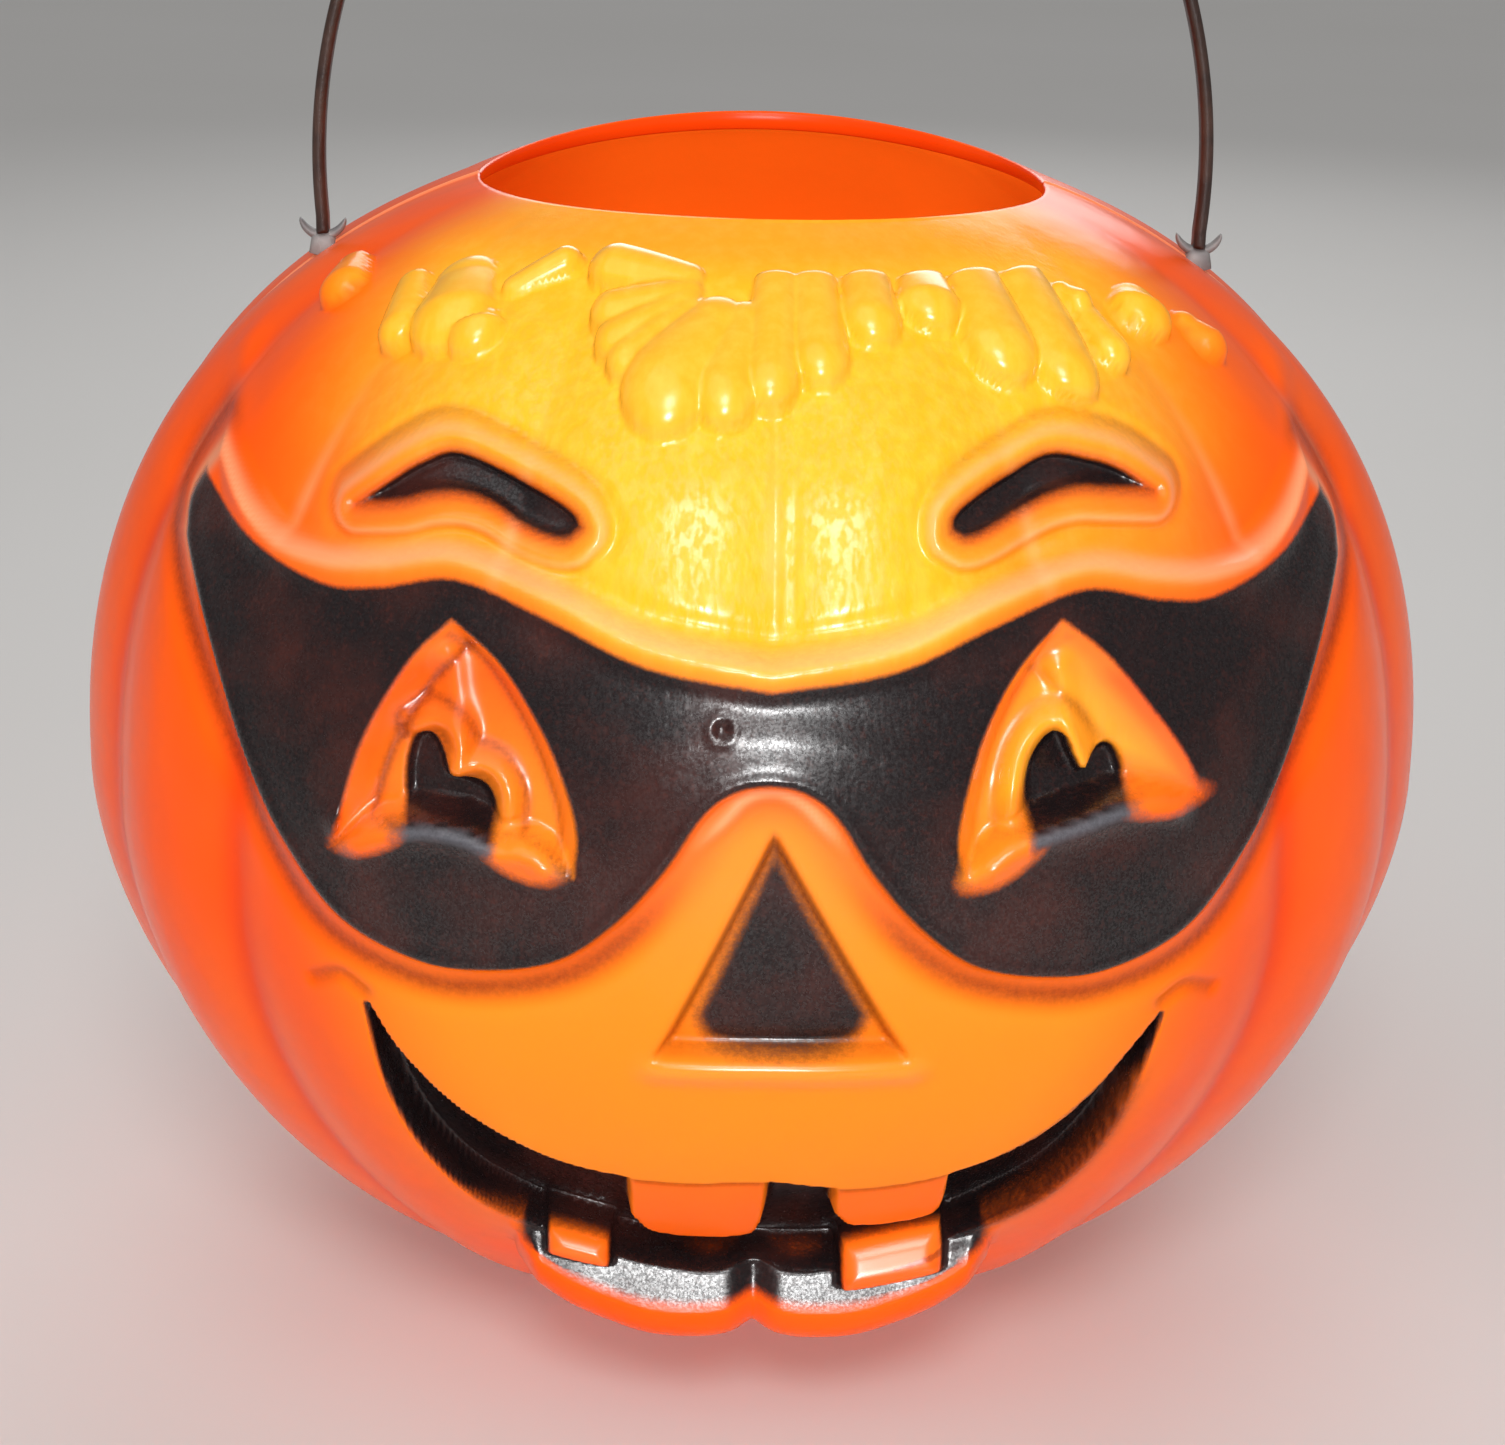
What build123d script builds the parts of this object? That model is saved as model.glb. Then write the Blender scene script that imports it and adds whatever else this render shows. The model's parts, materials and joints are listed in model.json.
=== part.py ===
from build123d import *
import math
import os
from functools import lru_cache

os.makedirs("parts", exist_ok=True)

# Driving sizes in millimetres: origin under the middle of the base, +Z up, the face looks along -Y
WIDTH = 220.0
HEIGHT = 183.0
OPENING = 90.0
WALL = 2.0
BACKING = 1.5 * WALL
RIBS = 16
CREASE_DEPTH = 2.3
SHOULDER_DIP = 3.0

# Relief of the face, measured from the smooth pumpkin surface
MUZZLE_RISE = 0.5
MASK_RISE = 1.5
BROW_RISE = 1.2
BROW_DEPTH = 1.5
BROW_BORDER = 4.0
EYE_DEPTH = 3.5
PUPIL_DEPTH = 6.0
NOSE_DEPTH = 4.0
MOUTH_DEPTH = 8.0
TOOTH_DEPTH = 1.5
LIP_RISE = 6.0
LEAF_RISE = 2.4
LEAF_STEP = 0.8

# Handle
STRAP_THICK = 2.4
STRAP_WIDE = 4.0
HANDLE_SPAN = 0.645 * WIDTH
HANDLE_RISE = 0.578 * HANDLE_SPAN
SIDE_RADIUS = 0.67 * HANDLE_SPAN
LEG_DROP = 2 * STRAP_WIDE
HINGE_LIFT = 5.4
SWING_GAP = 0.6

# Shape of the pumpkin's profile: two half super-ellipses that meet at the widest level
BELT = 0.478 * HEIGHT
UPPER = 0.557 * HEIGHT
LOWER = 0.544 * HEIGHT
UPPER_POWER = 2.25
LOWER_POWER = 1.8
LEVELS = (0, 0.03, 0.08, 0.15, 0.25, 0.36, 0.478, 0.60, 0.71, 0.80, 0.87, 0.92, 0.955, 0.98, 1)

# The face is drawn at this size and scaled to the driving sizes
DRAWN_WIDTH = 220.0
DRAWN_HEIGHT = 183.0


def radius(z):
    reach, power = (UPPER, UPPER_POWER) if z > BELT else (LOWER, LOWER_POWER)
    return WIDTH / 2 * max(1 - abs((z - BELT) / reach) ** power, 0) ** (1 / power)


def shoulder_height(r):
    return BELT + UPPER * (1 - (2 * r / WIDTH) ** UPPER_POWER) ** (1 / UPPER_POWER)


def outward(z):
    """Unit normal of the profile as (radial, vertical)."""
    step = HEIGHT / 1000
    slope = (radius(z + step) - radius(z - step)) / (2 * step)
    return 1 / math.hypot(1, slope), -slope / math.hypot(1, slope)


def crease(z):
    return CREASE_DEPTH * (1 - min(abs(z - BELT) / (0.52 * HEIGHT), 1) ** 4)


def section(z, offset, depth):
    """One level of the pumpkin: an arc for each rib, lower at the sides than at the front and back."""
    radial, vertical = outward(z)
    lift = max(z - BELT, 0) / UPPER

    def point(turn, sink):
        angle = 2 * math.pi * turn / RIBS
        dipped = z + SHOULDER_DIP * lift ** 2 * math.sin(angle) ** 2
        r = radius(dipped) + offset * radial - sink
        return r * math.sin(angle), -r * math.cos(angle)

    arcs = [ThreePointArc(point(k, depth), point(k + 0.5, 0), point(k + 1, depth)) for k in range(RIBS)]
    return Pos(0, 0, z + offset * vertical) * make_face(arcs)


@lru_cache
def pumpkin(offset, ribbed):
    """The whole pumpkin body, moved out along its normals by offset, with or without its creases."""
    levels = [part * HEIGHT for part in LEVELS]
    return loft([section(z, offset, crease(z) if ribbed else 0) for z in levels])


def at(x, z):
    return x * WIDTH / DRAWN_WIDTH, z * HEIGHT / DRAWN_HEIGHT


def outline(*strokes, grow=0):
    """A face bounded by strokes that follow each other; grow moves every point outward first."""
    loop = [p for stroke in strokes for p in stroke[:-1]]
    ahead = loop[1:] + loop[:1]
    behind = loop[-1:] + loop[:-1]
    area = sum(p[0] * q[1] - q[0] * p[1] for p, q in zip(loop, ahead))
    moved = {}
    for p, before, after in zip(loop, behind, ahead):
        run, climb = after[0] - before[0], after[1] - before[1]
        step = math.copysign(grow, area) / math.hypot(run, climb)
        moved[p] = at(p[0] + step * climb, p[1] - step * run)
    edges = []
    for stroke in strokes:
        points = [moved[p] for p in stroke]
        edges.append(Line(*points) if len(points) == 2 else Spline(*points))
    return make_face(edges)


def both(shape):
    return shape + mirror(shape, about=Plane.YZ)


def frontward(sketch):
    """Everything in front of the pumpkin's middle that the outline covers, in the mould's draw direction."""
    return extrude(Plane.XZ * sketch, amount=WIDTH)


def relief(sketch, height):
    return frontward(sketch) & pumpkin(height, False)


def recess(sketch, depth):
    return frontward(sketch) - pumpkin(-depth, False)


# Outlines of the face in front view
mask = both(outline(
    [(0, 132.5), (16.7, 135), (29.7, 140), (42.8, 143.2), (54, 140.6), (63, 139.5), (72, 141.3), (80, 150)],
    [(80, 150), (86, 138)],
    [(86, 138), (80, 123), (75, 109.5), (69, 99.5), (60, 90), (48, 86), (38, 86.5), (28, 89.5), (20, 95.8),
     (13.5, 103.5), (8.7, 111), (4.7, 114.8), (0, 116.3)],
    [(0, 116.3), (0, 132.5)],
))
muzzle = both(outline(
    [(0, 125), (60, 125)],
    [(60, 125), (66, 95), (64, 70), (52, 45), (36, 28)],
    [(36, 28), (0, 28)],
    [(0, 28), (0, 125)],
))
lip = both(outline(
    [(0, 28.5), (14.5, 29), (28, 33), (37, 39)],
    [(37, 39), (36, 28), (24, 20.5), (11, 17.5), (0, 20.5)],
    [(0, 20.5), (0, 28.5)],
))


def brow(grow=0):
    return both(outline(
        [(55.7, 147.7), (48, 152), (40.8, 154.8), (33.5, 152.7), (27, 150.2), (25.2, 147)],
        [(25.2, 147), (28.5, 145.8), (33, 147.6), (38.5, 150.2), (43.5, 150.4), (50, 148.6), (55.7, 147.7)],
        grow=grow,
    ))


def left_eye(grow=0):
    return outline(
        [(-43, 133.5), (-60.9, 99.8)],
        [(-60.9, 99.8), (-52, 105.6), (-43.4, 107.6), (-34, 106), (-26.1, 101.7)],
        [(-26.1, 101.7), (-27.5, 111.2), (-31, 120.1), (-36.6, 128.3), (-43, 133.5)],
        grow=grow,
    )


def right_eye(grow=0):
    return outline(
        [(40, 135.5), (60.8, 109.1)],
        [(60.8, 109.1), (52, 110.6), (43.5, 109.8), (35, 107.6), (26.7, 102.4)],
        [(26.7, 102.4), (25.8, 108), (27.6, 118.6), (32.3, 128.5), (40, 135.5)],
        grow=grow,
    )


def lobe(x, z, half_wide, half_tall):
    return Pos(*at(x, z)) * Ellipse(*at(half_wide, half_tall))


def left_pupil(grow=0):
    return lobe(-45.6, 112.6, 3.6 + grow, 6.2 + grow) + lobe(-40.2, 110.8, 3.6 + grow, 5 + grow)


def right_pupil(grow=0):
    return lobe(38.4, 115.6, 3.8 + grow, 6.4 + grow) + lobe(45, 113.4, 3.8 + grow, 5.4 + grow)


def nose(grow=0):
    return outline(
        [(0.3, 111), (-14.5, 75.5)],
        [(-14.5, 75.5), (20.5, 75.5)],
        [(20.5, 75.5), (0.3, 111)],
        grow=grow,
    )


def mouth(grow=0):
    return outline(
        [(-56, 77.5), (-44, 61.3), (-28.3, 52.5), (-16, 50.4), (0, 51.5), (14, 50.3), (28, 52.3), (42, 61.3),
         (57, 76.5)],
        [(57, 76.5), (53.5, 66), (47.6, 51), (38, 40), (28, 33), (14.5, 29), (0, 28.5), (-17, 29), (-31.8, 36),
         (-40.3, 43), (-49, 54.5), (-56, 77.5)],
        grow=grow,
    )


def tooth(left, right, low, high):
    wide, tall = at(right - left, high - low)
    return Pos(*at((left + right) / 2, (low + high) / 2)) * RectangleRounded(wide, tall, tall / 6)


teeth = tooth(-19.5, 1, 39, 54) + tooth(10.6, 27.5, 42, 55)
teeth += tooth(-31.5, -21.8, 26, 38) + tooth(12.5, 29.5, 25, 37)


def leaf(x1, y1, x2, y2, wide):
    """One plump finger of the wreath in plan view, from root to tip."""
    run = math.hypot(x2 - x1, y2 - y1)
    turn = math.degrees(math.atan2(y2 - y1, x2 - x1))
    scale_up = WIDTH / DRAWN_WIDTH
    middle = Pos((x1 + x2) / 2 * scale_up, (y1 + y2) / 2 * scale_up)
    return middle * Rot(0, 0, turn) * SlotCenterToCenter(run * scale_up, wide * scale_up)


high_leaves = [
    leaf(-63.4, -29, -64.2, -37.5, 7), leaf(-44.5, -48, -47.6, -58, 9), leaf(-28, -53, -33, -55.5, 5),
    leaf(-12, -62, -21.5, -66, 8), leaf(-6.5, -69, -13.5, -79, 9), leaf(2.2, -64, 1, -75, 7.5),
    leaf(13.5, -62, 16, -67, 7), leaf(30.5, -58, 34.3, -66.5, 8.5), leaf(45, -52.5, 49.5, -58.5, 5),
    leaf(61.5, -38, 65.8, -43, 6),
]
low_leaves = [
    leaf(-54, -47, -52.7, -57, 5), leaf(-35, -55, -39.3, -61.5, 7), leaf(-13, -65, -20.5, -73.5, 7),
    leaf(-3.5, -70, -6, -79.5, 7), leaf(8, -63, 8.6, -72.5, 7.5), leaf(22.4, -59, 24.6, -62.5, 7),
    leaf(37.5, -55, 43, -65.5, 7), leaf(53.8, -42.5, 55.2, -46.5, 8),
]


def wreath(fingers, height):
    band = Sketch() + fingers
    return extrude(Pos(0, 0, BELT) * band, amount=HEIGHT) & pumpkin(height, False)


# Pail shell: ribbed body, raised relief, then the recesses with a full wall kept behind each of them
solid_pail = pumpkin(0, True)
for raised in (relief(muzzle, MUZZLE_RISE), relief(mask, MASK_RISE), relief(brow(BROW_BORDER), BROW_RISE),
               relief(lip, LIP_RISE), wreath(high_leaves, LEAF_RISE), wreath(low_leaves, LEAF_RISE - LEAF_STEP)):
    solid_pail += raised

sunk = [
    (brow, BROW_DEPTH), (left_eye, EYE_DEPTH), (right_eye, EYE_DEPTH), (left_pupil, PUPIL_DEPTH),
    (right_pupil, PUPIL_DEPTH), (nose, NOSE_DEPTH), (mouth, MOUTH_DEPTH),
]
cavity = pumpkin(-WALL, True)
for shape, depth in sunk:
    cavity -= recess(shape(BACKING), depth + WALL)

mouth_cut = recess(mouth(), MOUTH_DEPTH) - (frontward(teeth) & pumpkin(-TOOTH_DEPTH, False))
opening_cut = Pos(0, 0, HEIGHT) * Cylinder(OPENING / 2, HEIGHT / 2)

pail_shell = solid_pail - cavity - opening_cut - mouth_cut
for shape, depth in sunk[:-1]:
    pail_shell -= recess(shape(), depth)

# Handle: a three-centred arch whose legs end in rounded knuckles on the swing line
hinge_half = HANDLE_SPAN / 2 - (SIDE_RADIUS - math.sqrt(SIDE_RADIUS ** 2 - LEG_DROP ** 2))
smooth_z = shoulder_height(hinge_half)
slot_z = shoulder_height(hinge_half + crease(smooth_z)) - SHOULDER_DIP * ((smooth_z - BELT) / UPPER) ** 2
hinge_z = slot_z + HINGE_LIFT
widest_z = hinge_z + LEG_DROP
side_inset = SIDE_RADIUS - HANDLE_SPAN / 2
rise_short = SIDE_RADIUS - HANDLE_RISE
crown_centre = (side_inset ** 2 - rise_short ** 2) / (2 * rise_short)
side_turn = math.degrees(math.atan2(crown_centre, side_inset))
leg_turn = math.degrees(math.asin(LEG_DROP / SIDE_RADIUS))


def across(point):
    return -point.X, point.Y


def arch(shift):
    """The strap's line moved outward by shift: one leg, the crown and the other leg."""
    side = CenterArc((-side_inset, widest_z), SIDE_RADIUS + shift, -leg_turn, leg_turn + side_turn)
    crown = TangentArc(side @ 1, across(side @ 1), tangent=side % 1)
    far = TangentArc(crown @ 1, across(side @ 0), tangent=crown % 1)
    return [side, crown, far]


outer = arch(STRAP_THICK / 2)
inner = arch(-STRAP_THICK / 2)
ends = [Line(outer[0] @ 0, inner[0] @ 0), Line(outer[2] @ 1, inner[2] @ 1)]
strap_sketch = make_face(outer + inner + ends)
handle_strap = extrude(Plane.XZ * strap_sketch, amount=STRAP_WIDE / 2, both=True)
knuckle = Pos(hinge_half, 0, hinge_z) * Rot(0, 90, 0) * Cylinder(STRAP_WIDE / 2, STRAP_THICK)
handle_strap += both(knuckle)

# Anchors: upturned crescent under the knuckle, neck through the slot, barb inside
cradle = STRAP_WIDE / 2 + SWING_GAP
tip_half = 1.5 * STRAP_THICK
tip_drop = STRAP_THICK / 4
crescent_thick = STRAP_THICK * 2 / 3
barb_half = STRAP_WIDE
barb_top = slot_z - 2.4 * WALL
barb_tall = 1.75 * STRAP_WIDE

crescent_sketch = make_face([
    ThreePointArc((-tip_half, -tip_drop), (0, -cradle), (tip_half, -tip_drop)),
    ThreePointArc((tip_half, -tip_drop), (0, -cradle - crescent_thick), (-tip_half, -tip_drop)),
])
crescent = extrude(Plane.XZ * Pos(hinge_half, hinge_z) * crescent_sketch, amount=STRAP_THICK / 2, both=True)
neck_top = hinge_z - cradle - crescent_thick / 2
neck_bottom = barb_top - barb_tall / 2
neck_sketch = Rectangle(STRAP_THICK, STRAP_WIDE)
neck = extrude(Pos(hinge_half, 0, neck_bottom) * neck_sketch, amount=neck_top - neck_bottom)
barb_sketch = make_face(Polyline((-barb_half, barb_top), (barb_half, barb_top), (0, barb_top - barb_tall), close=True))
barb = Pos(hinge_half, 0, 0) * extrude(Plane.YZ * barb_sketch, amount=STRAP_THICK / 2, both=True)
right_anchor = crescent + neck + barb
left_anchor = mirror(right_anchor, about=Plane.YZ)

slot = Pos(hinge_half, 0, slot_z) * Box(STRAP_THICK, STRAP_WIDE, 8 * WALL)
pail_shell -= both(slot)

export_step(pail_shell, "parts/pail_shell.step")
export_step(handle_strap, "parts/handle_strap.step")
export_step(left_anchor, "parts/left_anchor.step")
export_step(right_anchor, "parts/right_anchor.step")
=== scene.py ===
# %% [markdown]
# # A blow-moulded pumpkin pail
# The real pail is one hollow shell of orange polyethylene, blown into a two-part mould that carries the
# ribs, the mask, the brows, the eyes, the nose, the grin and a wreath of leaves. Black and yellow paint is
# sprayed through stencils, the top is cut open with a knife, and a thin strap is pushed into two slots.
# The frame gives every place in metres; below, lengths are written in millimetres and scaled at the end.

import json
import math

import bpy
import numpy as np
from mathutils import Matrix, Vector


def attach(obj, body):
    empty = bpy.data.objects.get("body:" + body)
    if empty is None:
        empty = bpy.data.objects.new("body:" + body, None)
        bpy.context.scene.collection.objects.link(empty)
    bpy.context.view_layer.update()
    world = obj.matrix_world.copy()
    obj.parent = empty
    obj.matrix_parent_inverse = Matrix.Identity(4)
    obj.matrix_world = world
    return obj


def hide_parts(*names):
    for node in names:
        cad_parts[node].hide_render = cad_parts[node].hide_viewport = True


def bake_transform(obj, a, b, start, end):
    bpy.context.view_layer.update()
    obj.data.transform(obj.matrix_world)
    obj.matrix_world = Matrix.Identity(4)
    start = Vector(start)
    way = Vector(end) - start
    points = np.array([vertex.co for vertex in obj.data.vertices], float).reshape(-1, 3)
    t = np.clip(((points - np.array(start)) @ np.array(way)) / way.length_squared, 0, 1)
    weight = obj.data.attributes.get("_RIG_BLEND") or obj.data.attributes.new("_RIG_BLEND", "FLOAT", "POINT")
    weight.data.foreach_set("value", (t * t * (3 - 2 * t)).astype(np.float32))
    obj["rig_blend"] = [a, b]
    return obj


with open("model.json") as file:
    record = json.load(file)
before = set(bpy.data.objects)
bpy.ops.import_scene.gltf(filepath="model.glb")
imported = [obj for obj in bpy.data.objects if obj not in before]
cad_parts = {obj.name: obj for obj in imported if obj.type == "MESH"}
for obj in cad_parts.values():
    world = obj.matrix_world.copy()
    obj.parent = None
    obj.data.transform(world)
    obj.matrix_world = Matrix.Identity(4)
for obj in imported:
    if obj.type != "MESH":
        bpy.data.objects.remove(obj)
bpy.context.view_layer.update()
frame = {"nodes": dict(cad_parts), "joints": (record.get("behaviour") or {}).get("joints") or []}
MM = 0.001
print("frame nodes:", sorted(frame["nodes"]))

# %% [markdown]
# ## The plain pumpkin
# Every mould starts from a plain turned form. Here it is two half super-ellipses that meet at the widest
# level. A subdivided sphere would be quicker, but it can't follow the flat shoulder and the narrow foot,
# so the profile is a formula and the shell becomes a fine grid of turns and levels.

# %% Profile of the body
WIDTH, HEIGHT, OPENING, WALL = 220.0, 183.0, 90.0, 2.0
BELT, UPPER, LOWER = 0.478 * HEIGHT, 0.557 * HEIGHT, 0.544 * HEIGHT
UPPER_POWER, LOWER_POWER = 2.25, 1.8
SHOULDER_DIP = 3.0
RIBS, CREASE_DEPTH, CREASE_SOFT = 16, 2.3, 0.07


def profile_radius(z):
    above = z > BELT
    share = np.abs(z - BELT) / np.where(above, UPPER, LOWER)
    power = np.where(above, UPPER_POWER, LOWER_POWER)
    return WIDTH / 2 * np.clip(1 - share ** power, 0, None) ** (1 / power)


def profile_normal(z):
    """Outward unit normal of the profile as (radial, vertical)."""
    step = 0.05
    slope = (profile_radius(z + step) - profile_radius(z - step)) / (2 * step)
    length = np.hypot(1, slope)
    return 1 / length, -slope / length


def shoulder_height(r):
    return BELT + UPPER * (1 - (2 * r / WIDTH) ** UPPER_POWER) ** (1 / UPPER_POWER)


rim_level = shoulder_height(OPENING / 2)
print("rim level %.1f mm, foot radius %.1f mm" % (rim_level, profile_radius(np.array(0.0))))

# %% [markdown]
# ## The grid
# The face needs points every half millimetre or so, the plain back does not. Uneven steps keep the mesh
# small: levels are closest round the grin, turns are closest round the face, and a few close turns stand
# at each side for the parting line that the mould's two halves leave.

# %% Levels and turns
FACE_TURN, CHEEK_TURN, SEAM_TURN = 40.0, 64.0, 0.9
FACE_STEP, CHEEK_STEP, SIDE_STEP, SEAM_STEP = 0.33, 0.5, 1.1, 0.2
TOP_SPACING, FINE_STEPS = 0.8, 6000
# Level below which, and the distance between levels there, from the foot upwards.
LEVEL_SPACING = [(14, 1.4), (56, 0.45), (162, 0.62), (178, 0.6)]


def steps(start, end, size):
    count = max(1, round(abs(end - start) / size))
    return np.linspace(start, end, count, endpoint=False)


def spaced_levels(low, high, spacing):
    """Levels from low to high whose distance along the profile follows spacing(z)."""
    z = np.linspace(low, high, FINE_STEPS)
    r = profile_radius(z)
    run = np.hypot(np.diff(z), np.diff(r)) / spacing((z[1:] + z[:-1]) / 2)
    walked = np.concatenate([[0], np.cumsum(run)])
    return np.interp(np.linspace(0, walked[-1], round(walked[-1]) + 1), walked, z)


def face_spacing(z):
    below = [z < level for level, _ in LEVEL_SPACING]
    return np.select(below, [gap for _, gap in LEVEL_SPACING], TOP_SPACING)


half_turns = np.concatenate([
    steps(0, FACE_TURN, FACE_STEP), steps(FACE_TURN, CHEEK_TURN, CHEEK_STEP),
    steps(CHEEK_TURN, 90 - SEAM_TURN, SIDE_STEP), steps(90 - SEAM_TURN, 90 + SEAM_TURN, SEAM_STEP),
    steps(90 + SEAM_TURN, 180, SIDE_STEP),
])
turns = np.radians(np.concatenate([-half_turns[:0:-1], half_turns, [180.0]]))
levels = spaced_levels(0.0, rim_level, face_spacing)
print("outer grid:", len(turns), "turns x", len(levels), "levels")

# %% [markdown]
# ## Drawing on the front
# The mould opens along Y, so each form of the face has a clean outline in front view. An outline is a ring
# of strokes: each stroke is a smooth curve through a few points, and strokes meet in corners. The distance
# of every grid point to an outline, positive inside, is all that the relief and the paint need.


# %% Curves and distances
def smooth_stroke(points, pieces=7):
    """Catmull-Rom curve through the points; two points stay a straight line."""
    p = np.array(points, float)
    if len(p) == 2:
        return p
    p = np.vstack([2 * p[0] - p[1], p, 2 * p[-1] - p[-2]])
    t = np.linspace(0, 1, pieces, endpoint=False)[:, None]
    spans = []
    for a, b, c, d in zip(p, p[1:], p[2:], p[3:]):
        spans.append(b + 0.5 * t * (c - a + t * (2 * a - 5 * b + 4 * c - d + t * (3 * (b - c) + d - a))))
    return np.vstack(spans + [p[-2:-1]])


def ring(*strokes):
    return np.vstack([smooth_stroke(s)[:-1] for s in strokes])


def flipped(points):
    return [(-x, z) for x, z in reversed(points)]


def line_distance(x, z, line):
    """Distance to an open line, and how far along it the nearest point lies, from 0 to 1."""
    best = np.full(x.shape, 1e9)
    along = np.zeros(x.shape)
    reach = np.concatenate([[0], np.cumsum(np.hypot(*np.diff(line, axis=0).T))])
    for k, (a, b) in enumerate(zip(line[:-1], line[1:])):
        run = b - a
        t = np.clip(((x - a[0]) * run[0] + (z - a[1]) * run[1]) / (run @ run), 0, 1)
        gap = (x - a[0] - t * run[0]) ** 2 + (z - a[1] - t * run[1]) ** 2
        nearer = gap < best
        best = np.where(nearer, gap, best)
        along = np.where(nearer, reach[k] + t * (reach[k + 1] - reach[k]), along)
    return np.sqrt(best), along / reach[-1]


def inside_ring(x, z, loop):
    odd = np.zeros(x.shape, bool)
    for a, b in zip(loop, np.roll(loop, -1, axis=0)):
        crosses = (a[1] > z) != (b[1] > z)
        if crosses.any():
            odd ^= crosses & (x < a[0] + (b[0] - a[0]) * (z - a[1]) / (b[1] - a[1] + 1e-12))
    return odd


FAR = -30.0


def depth_inside(x, z, loop, margin=14.0):
    """Signed distance to a closed ring, positive inside, worked out only near the ring."""
    low, high = loop.min(axis=0) - margin, loop.max(axis=0) + margin
    near = (x > low[0]) & (x < high[0]) & (z > low[1]) & (z < high[1])
    found = np.full(x.shape, FAR)
    gap = line_distance(x[near], z[near], np.vstack([loop, loop[:1]]))[0]
    found[near] = np.where(inside_ring(x[near], z[near], loop), gap, -gap)
    return found


def ease(value, start, end):
    t = np.clip((value - start) / (end - start), 0, 1)
    return t * t * (3 - 2 * t)


def hump(distance, width):
    return np.exp(-(distance / width) ** 2)


# %% [markdown]
# ## Outlines of the face
# The points are read off the photograph through the camera that is set up at the end, so they are true
# millimetres on the pail. Eyes and teeth really differ from left to right; mask, brows and lip mirror.


# %% Mask, brows and muzzle
def mirrored_ring(top, tip, foot):
    """Ring whose right half runs from the middle of the top, round the tip, to the middle of the foot."""
    return ring(top, tip, foot[:-1] + flipped(foot), flipped(tip), flipped(top))


mask_crest = [(0, 132.2), (16.7, 134.8), (29.7, 139.8), (42.8, 143),
              (54, 140.6), (63, 139.3), (72, 141), (80, 149)]
mask_tip = [(80, 149), (85.5, 141), (86, 135)]
mask_foot = [(86, 135), (80, 121), (75, 109.5), (69, 99.5), (60, 90), (48, 86), (38, 86.5),
             (28, 89.5), (20, 95.8), (13.5, 103.5), (8.7, 111), (4.7, 114.4), (0, 115.5)]
mask_ring = mirrored_ring(mask_crest, mask_tip, mask_foot)
crest_line = smooth_stroke(flipped(mask_crest)[:-1] + mask_crest)
foot_line = smooth_stroke(mask_tip[1:-1] + mask_foot[:-1] + flipped(mask_foot) + flipped(mask_tip)[1:-1])
paint_top = [(0, 128.4), (16.5, 130.8), (29.7, 135.6), (42.8, 139.2),
             (54, 136.6), (62.5, 135.6), (74.5, 138.8), (83, 144.5)]
paint_tip = [(83, 144.5), (85.4, 140), (85.6, 135)]
paint_ring = mirrored_ring(paint_top, paint_tip, paint_tip[-1:] + mask_foot[1:])
temple_line = smooth_stroke([(70, 140.3), (76.5, 145), (80.2, 153), (78.8, 162), (73, 169)])
left_brow_ring = ring(
    [(-58.2, 145.4), (-53.2, 148.9), (-48.9, 151.7), (-44, 153.8),
     (-37.5, 152.8), (-31.8, 150.8), (-27.4, 148.5), (-26, 146.6)],
    [(-26, 146.6), (-28, 145), (-31, 145.2), (-34.6, 146.4), (-38.7, 148.4),
     (-43, 149), (-47.3, 148.2), (-51.6, 146.6), (-58.2, 145.4)])
right_brow_ring = ring(
    [(54, 149.1), (49, 152.3), (44.5, 154.1), (38.6, 155.5),
     (32.7, 153.6), (27.7, 151), (24.8, 148.8), (24.4, 146.9)],
    [(24.4, 146.9), (26.6, 145.9), (29.7, 146.8), (34, 148.9),
     (38.4, 150.4), (42.8, 150.8), (47.3, 150.1), (54, 149.1)])
muzzle_half = [(0, 128), (50, 122), (62, 104), (64, 84), (60, 66), (50, 46), (36, 30), (0, 27)]
muzzle_ring = ring(muzzle_half[:-1] + flipped(muzzle_half))
print("mask ring has", len(mask_ring), "points")


# %% Eyes
def eye_form(outer, lid, inner, pupil, iris, fold, outer_run, inner_run):
    """One eye: its three wall strokes, the pupil's strokes, the rolls of the iris and the fold above it."""
    return dict(ring=ring(outer, lid, inner), pupil=ring(*pupil), iris=[smooth_stroke(s) for s in iris],
                outer=smooth_stroke(outer), lid=smooth_stroke(lid), inner=smooth_stroke(inner),
                fold=smooth_stroke(fold), outer_run=outer_run, inner_run=inner_run)


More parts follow.
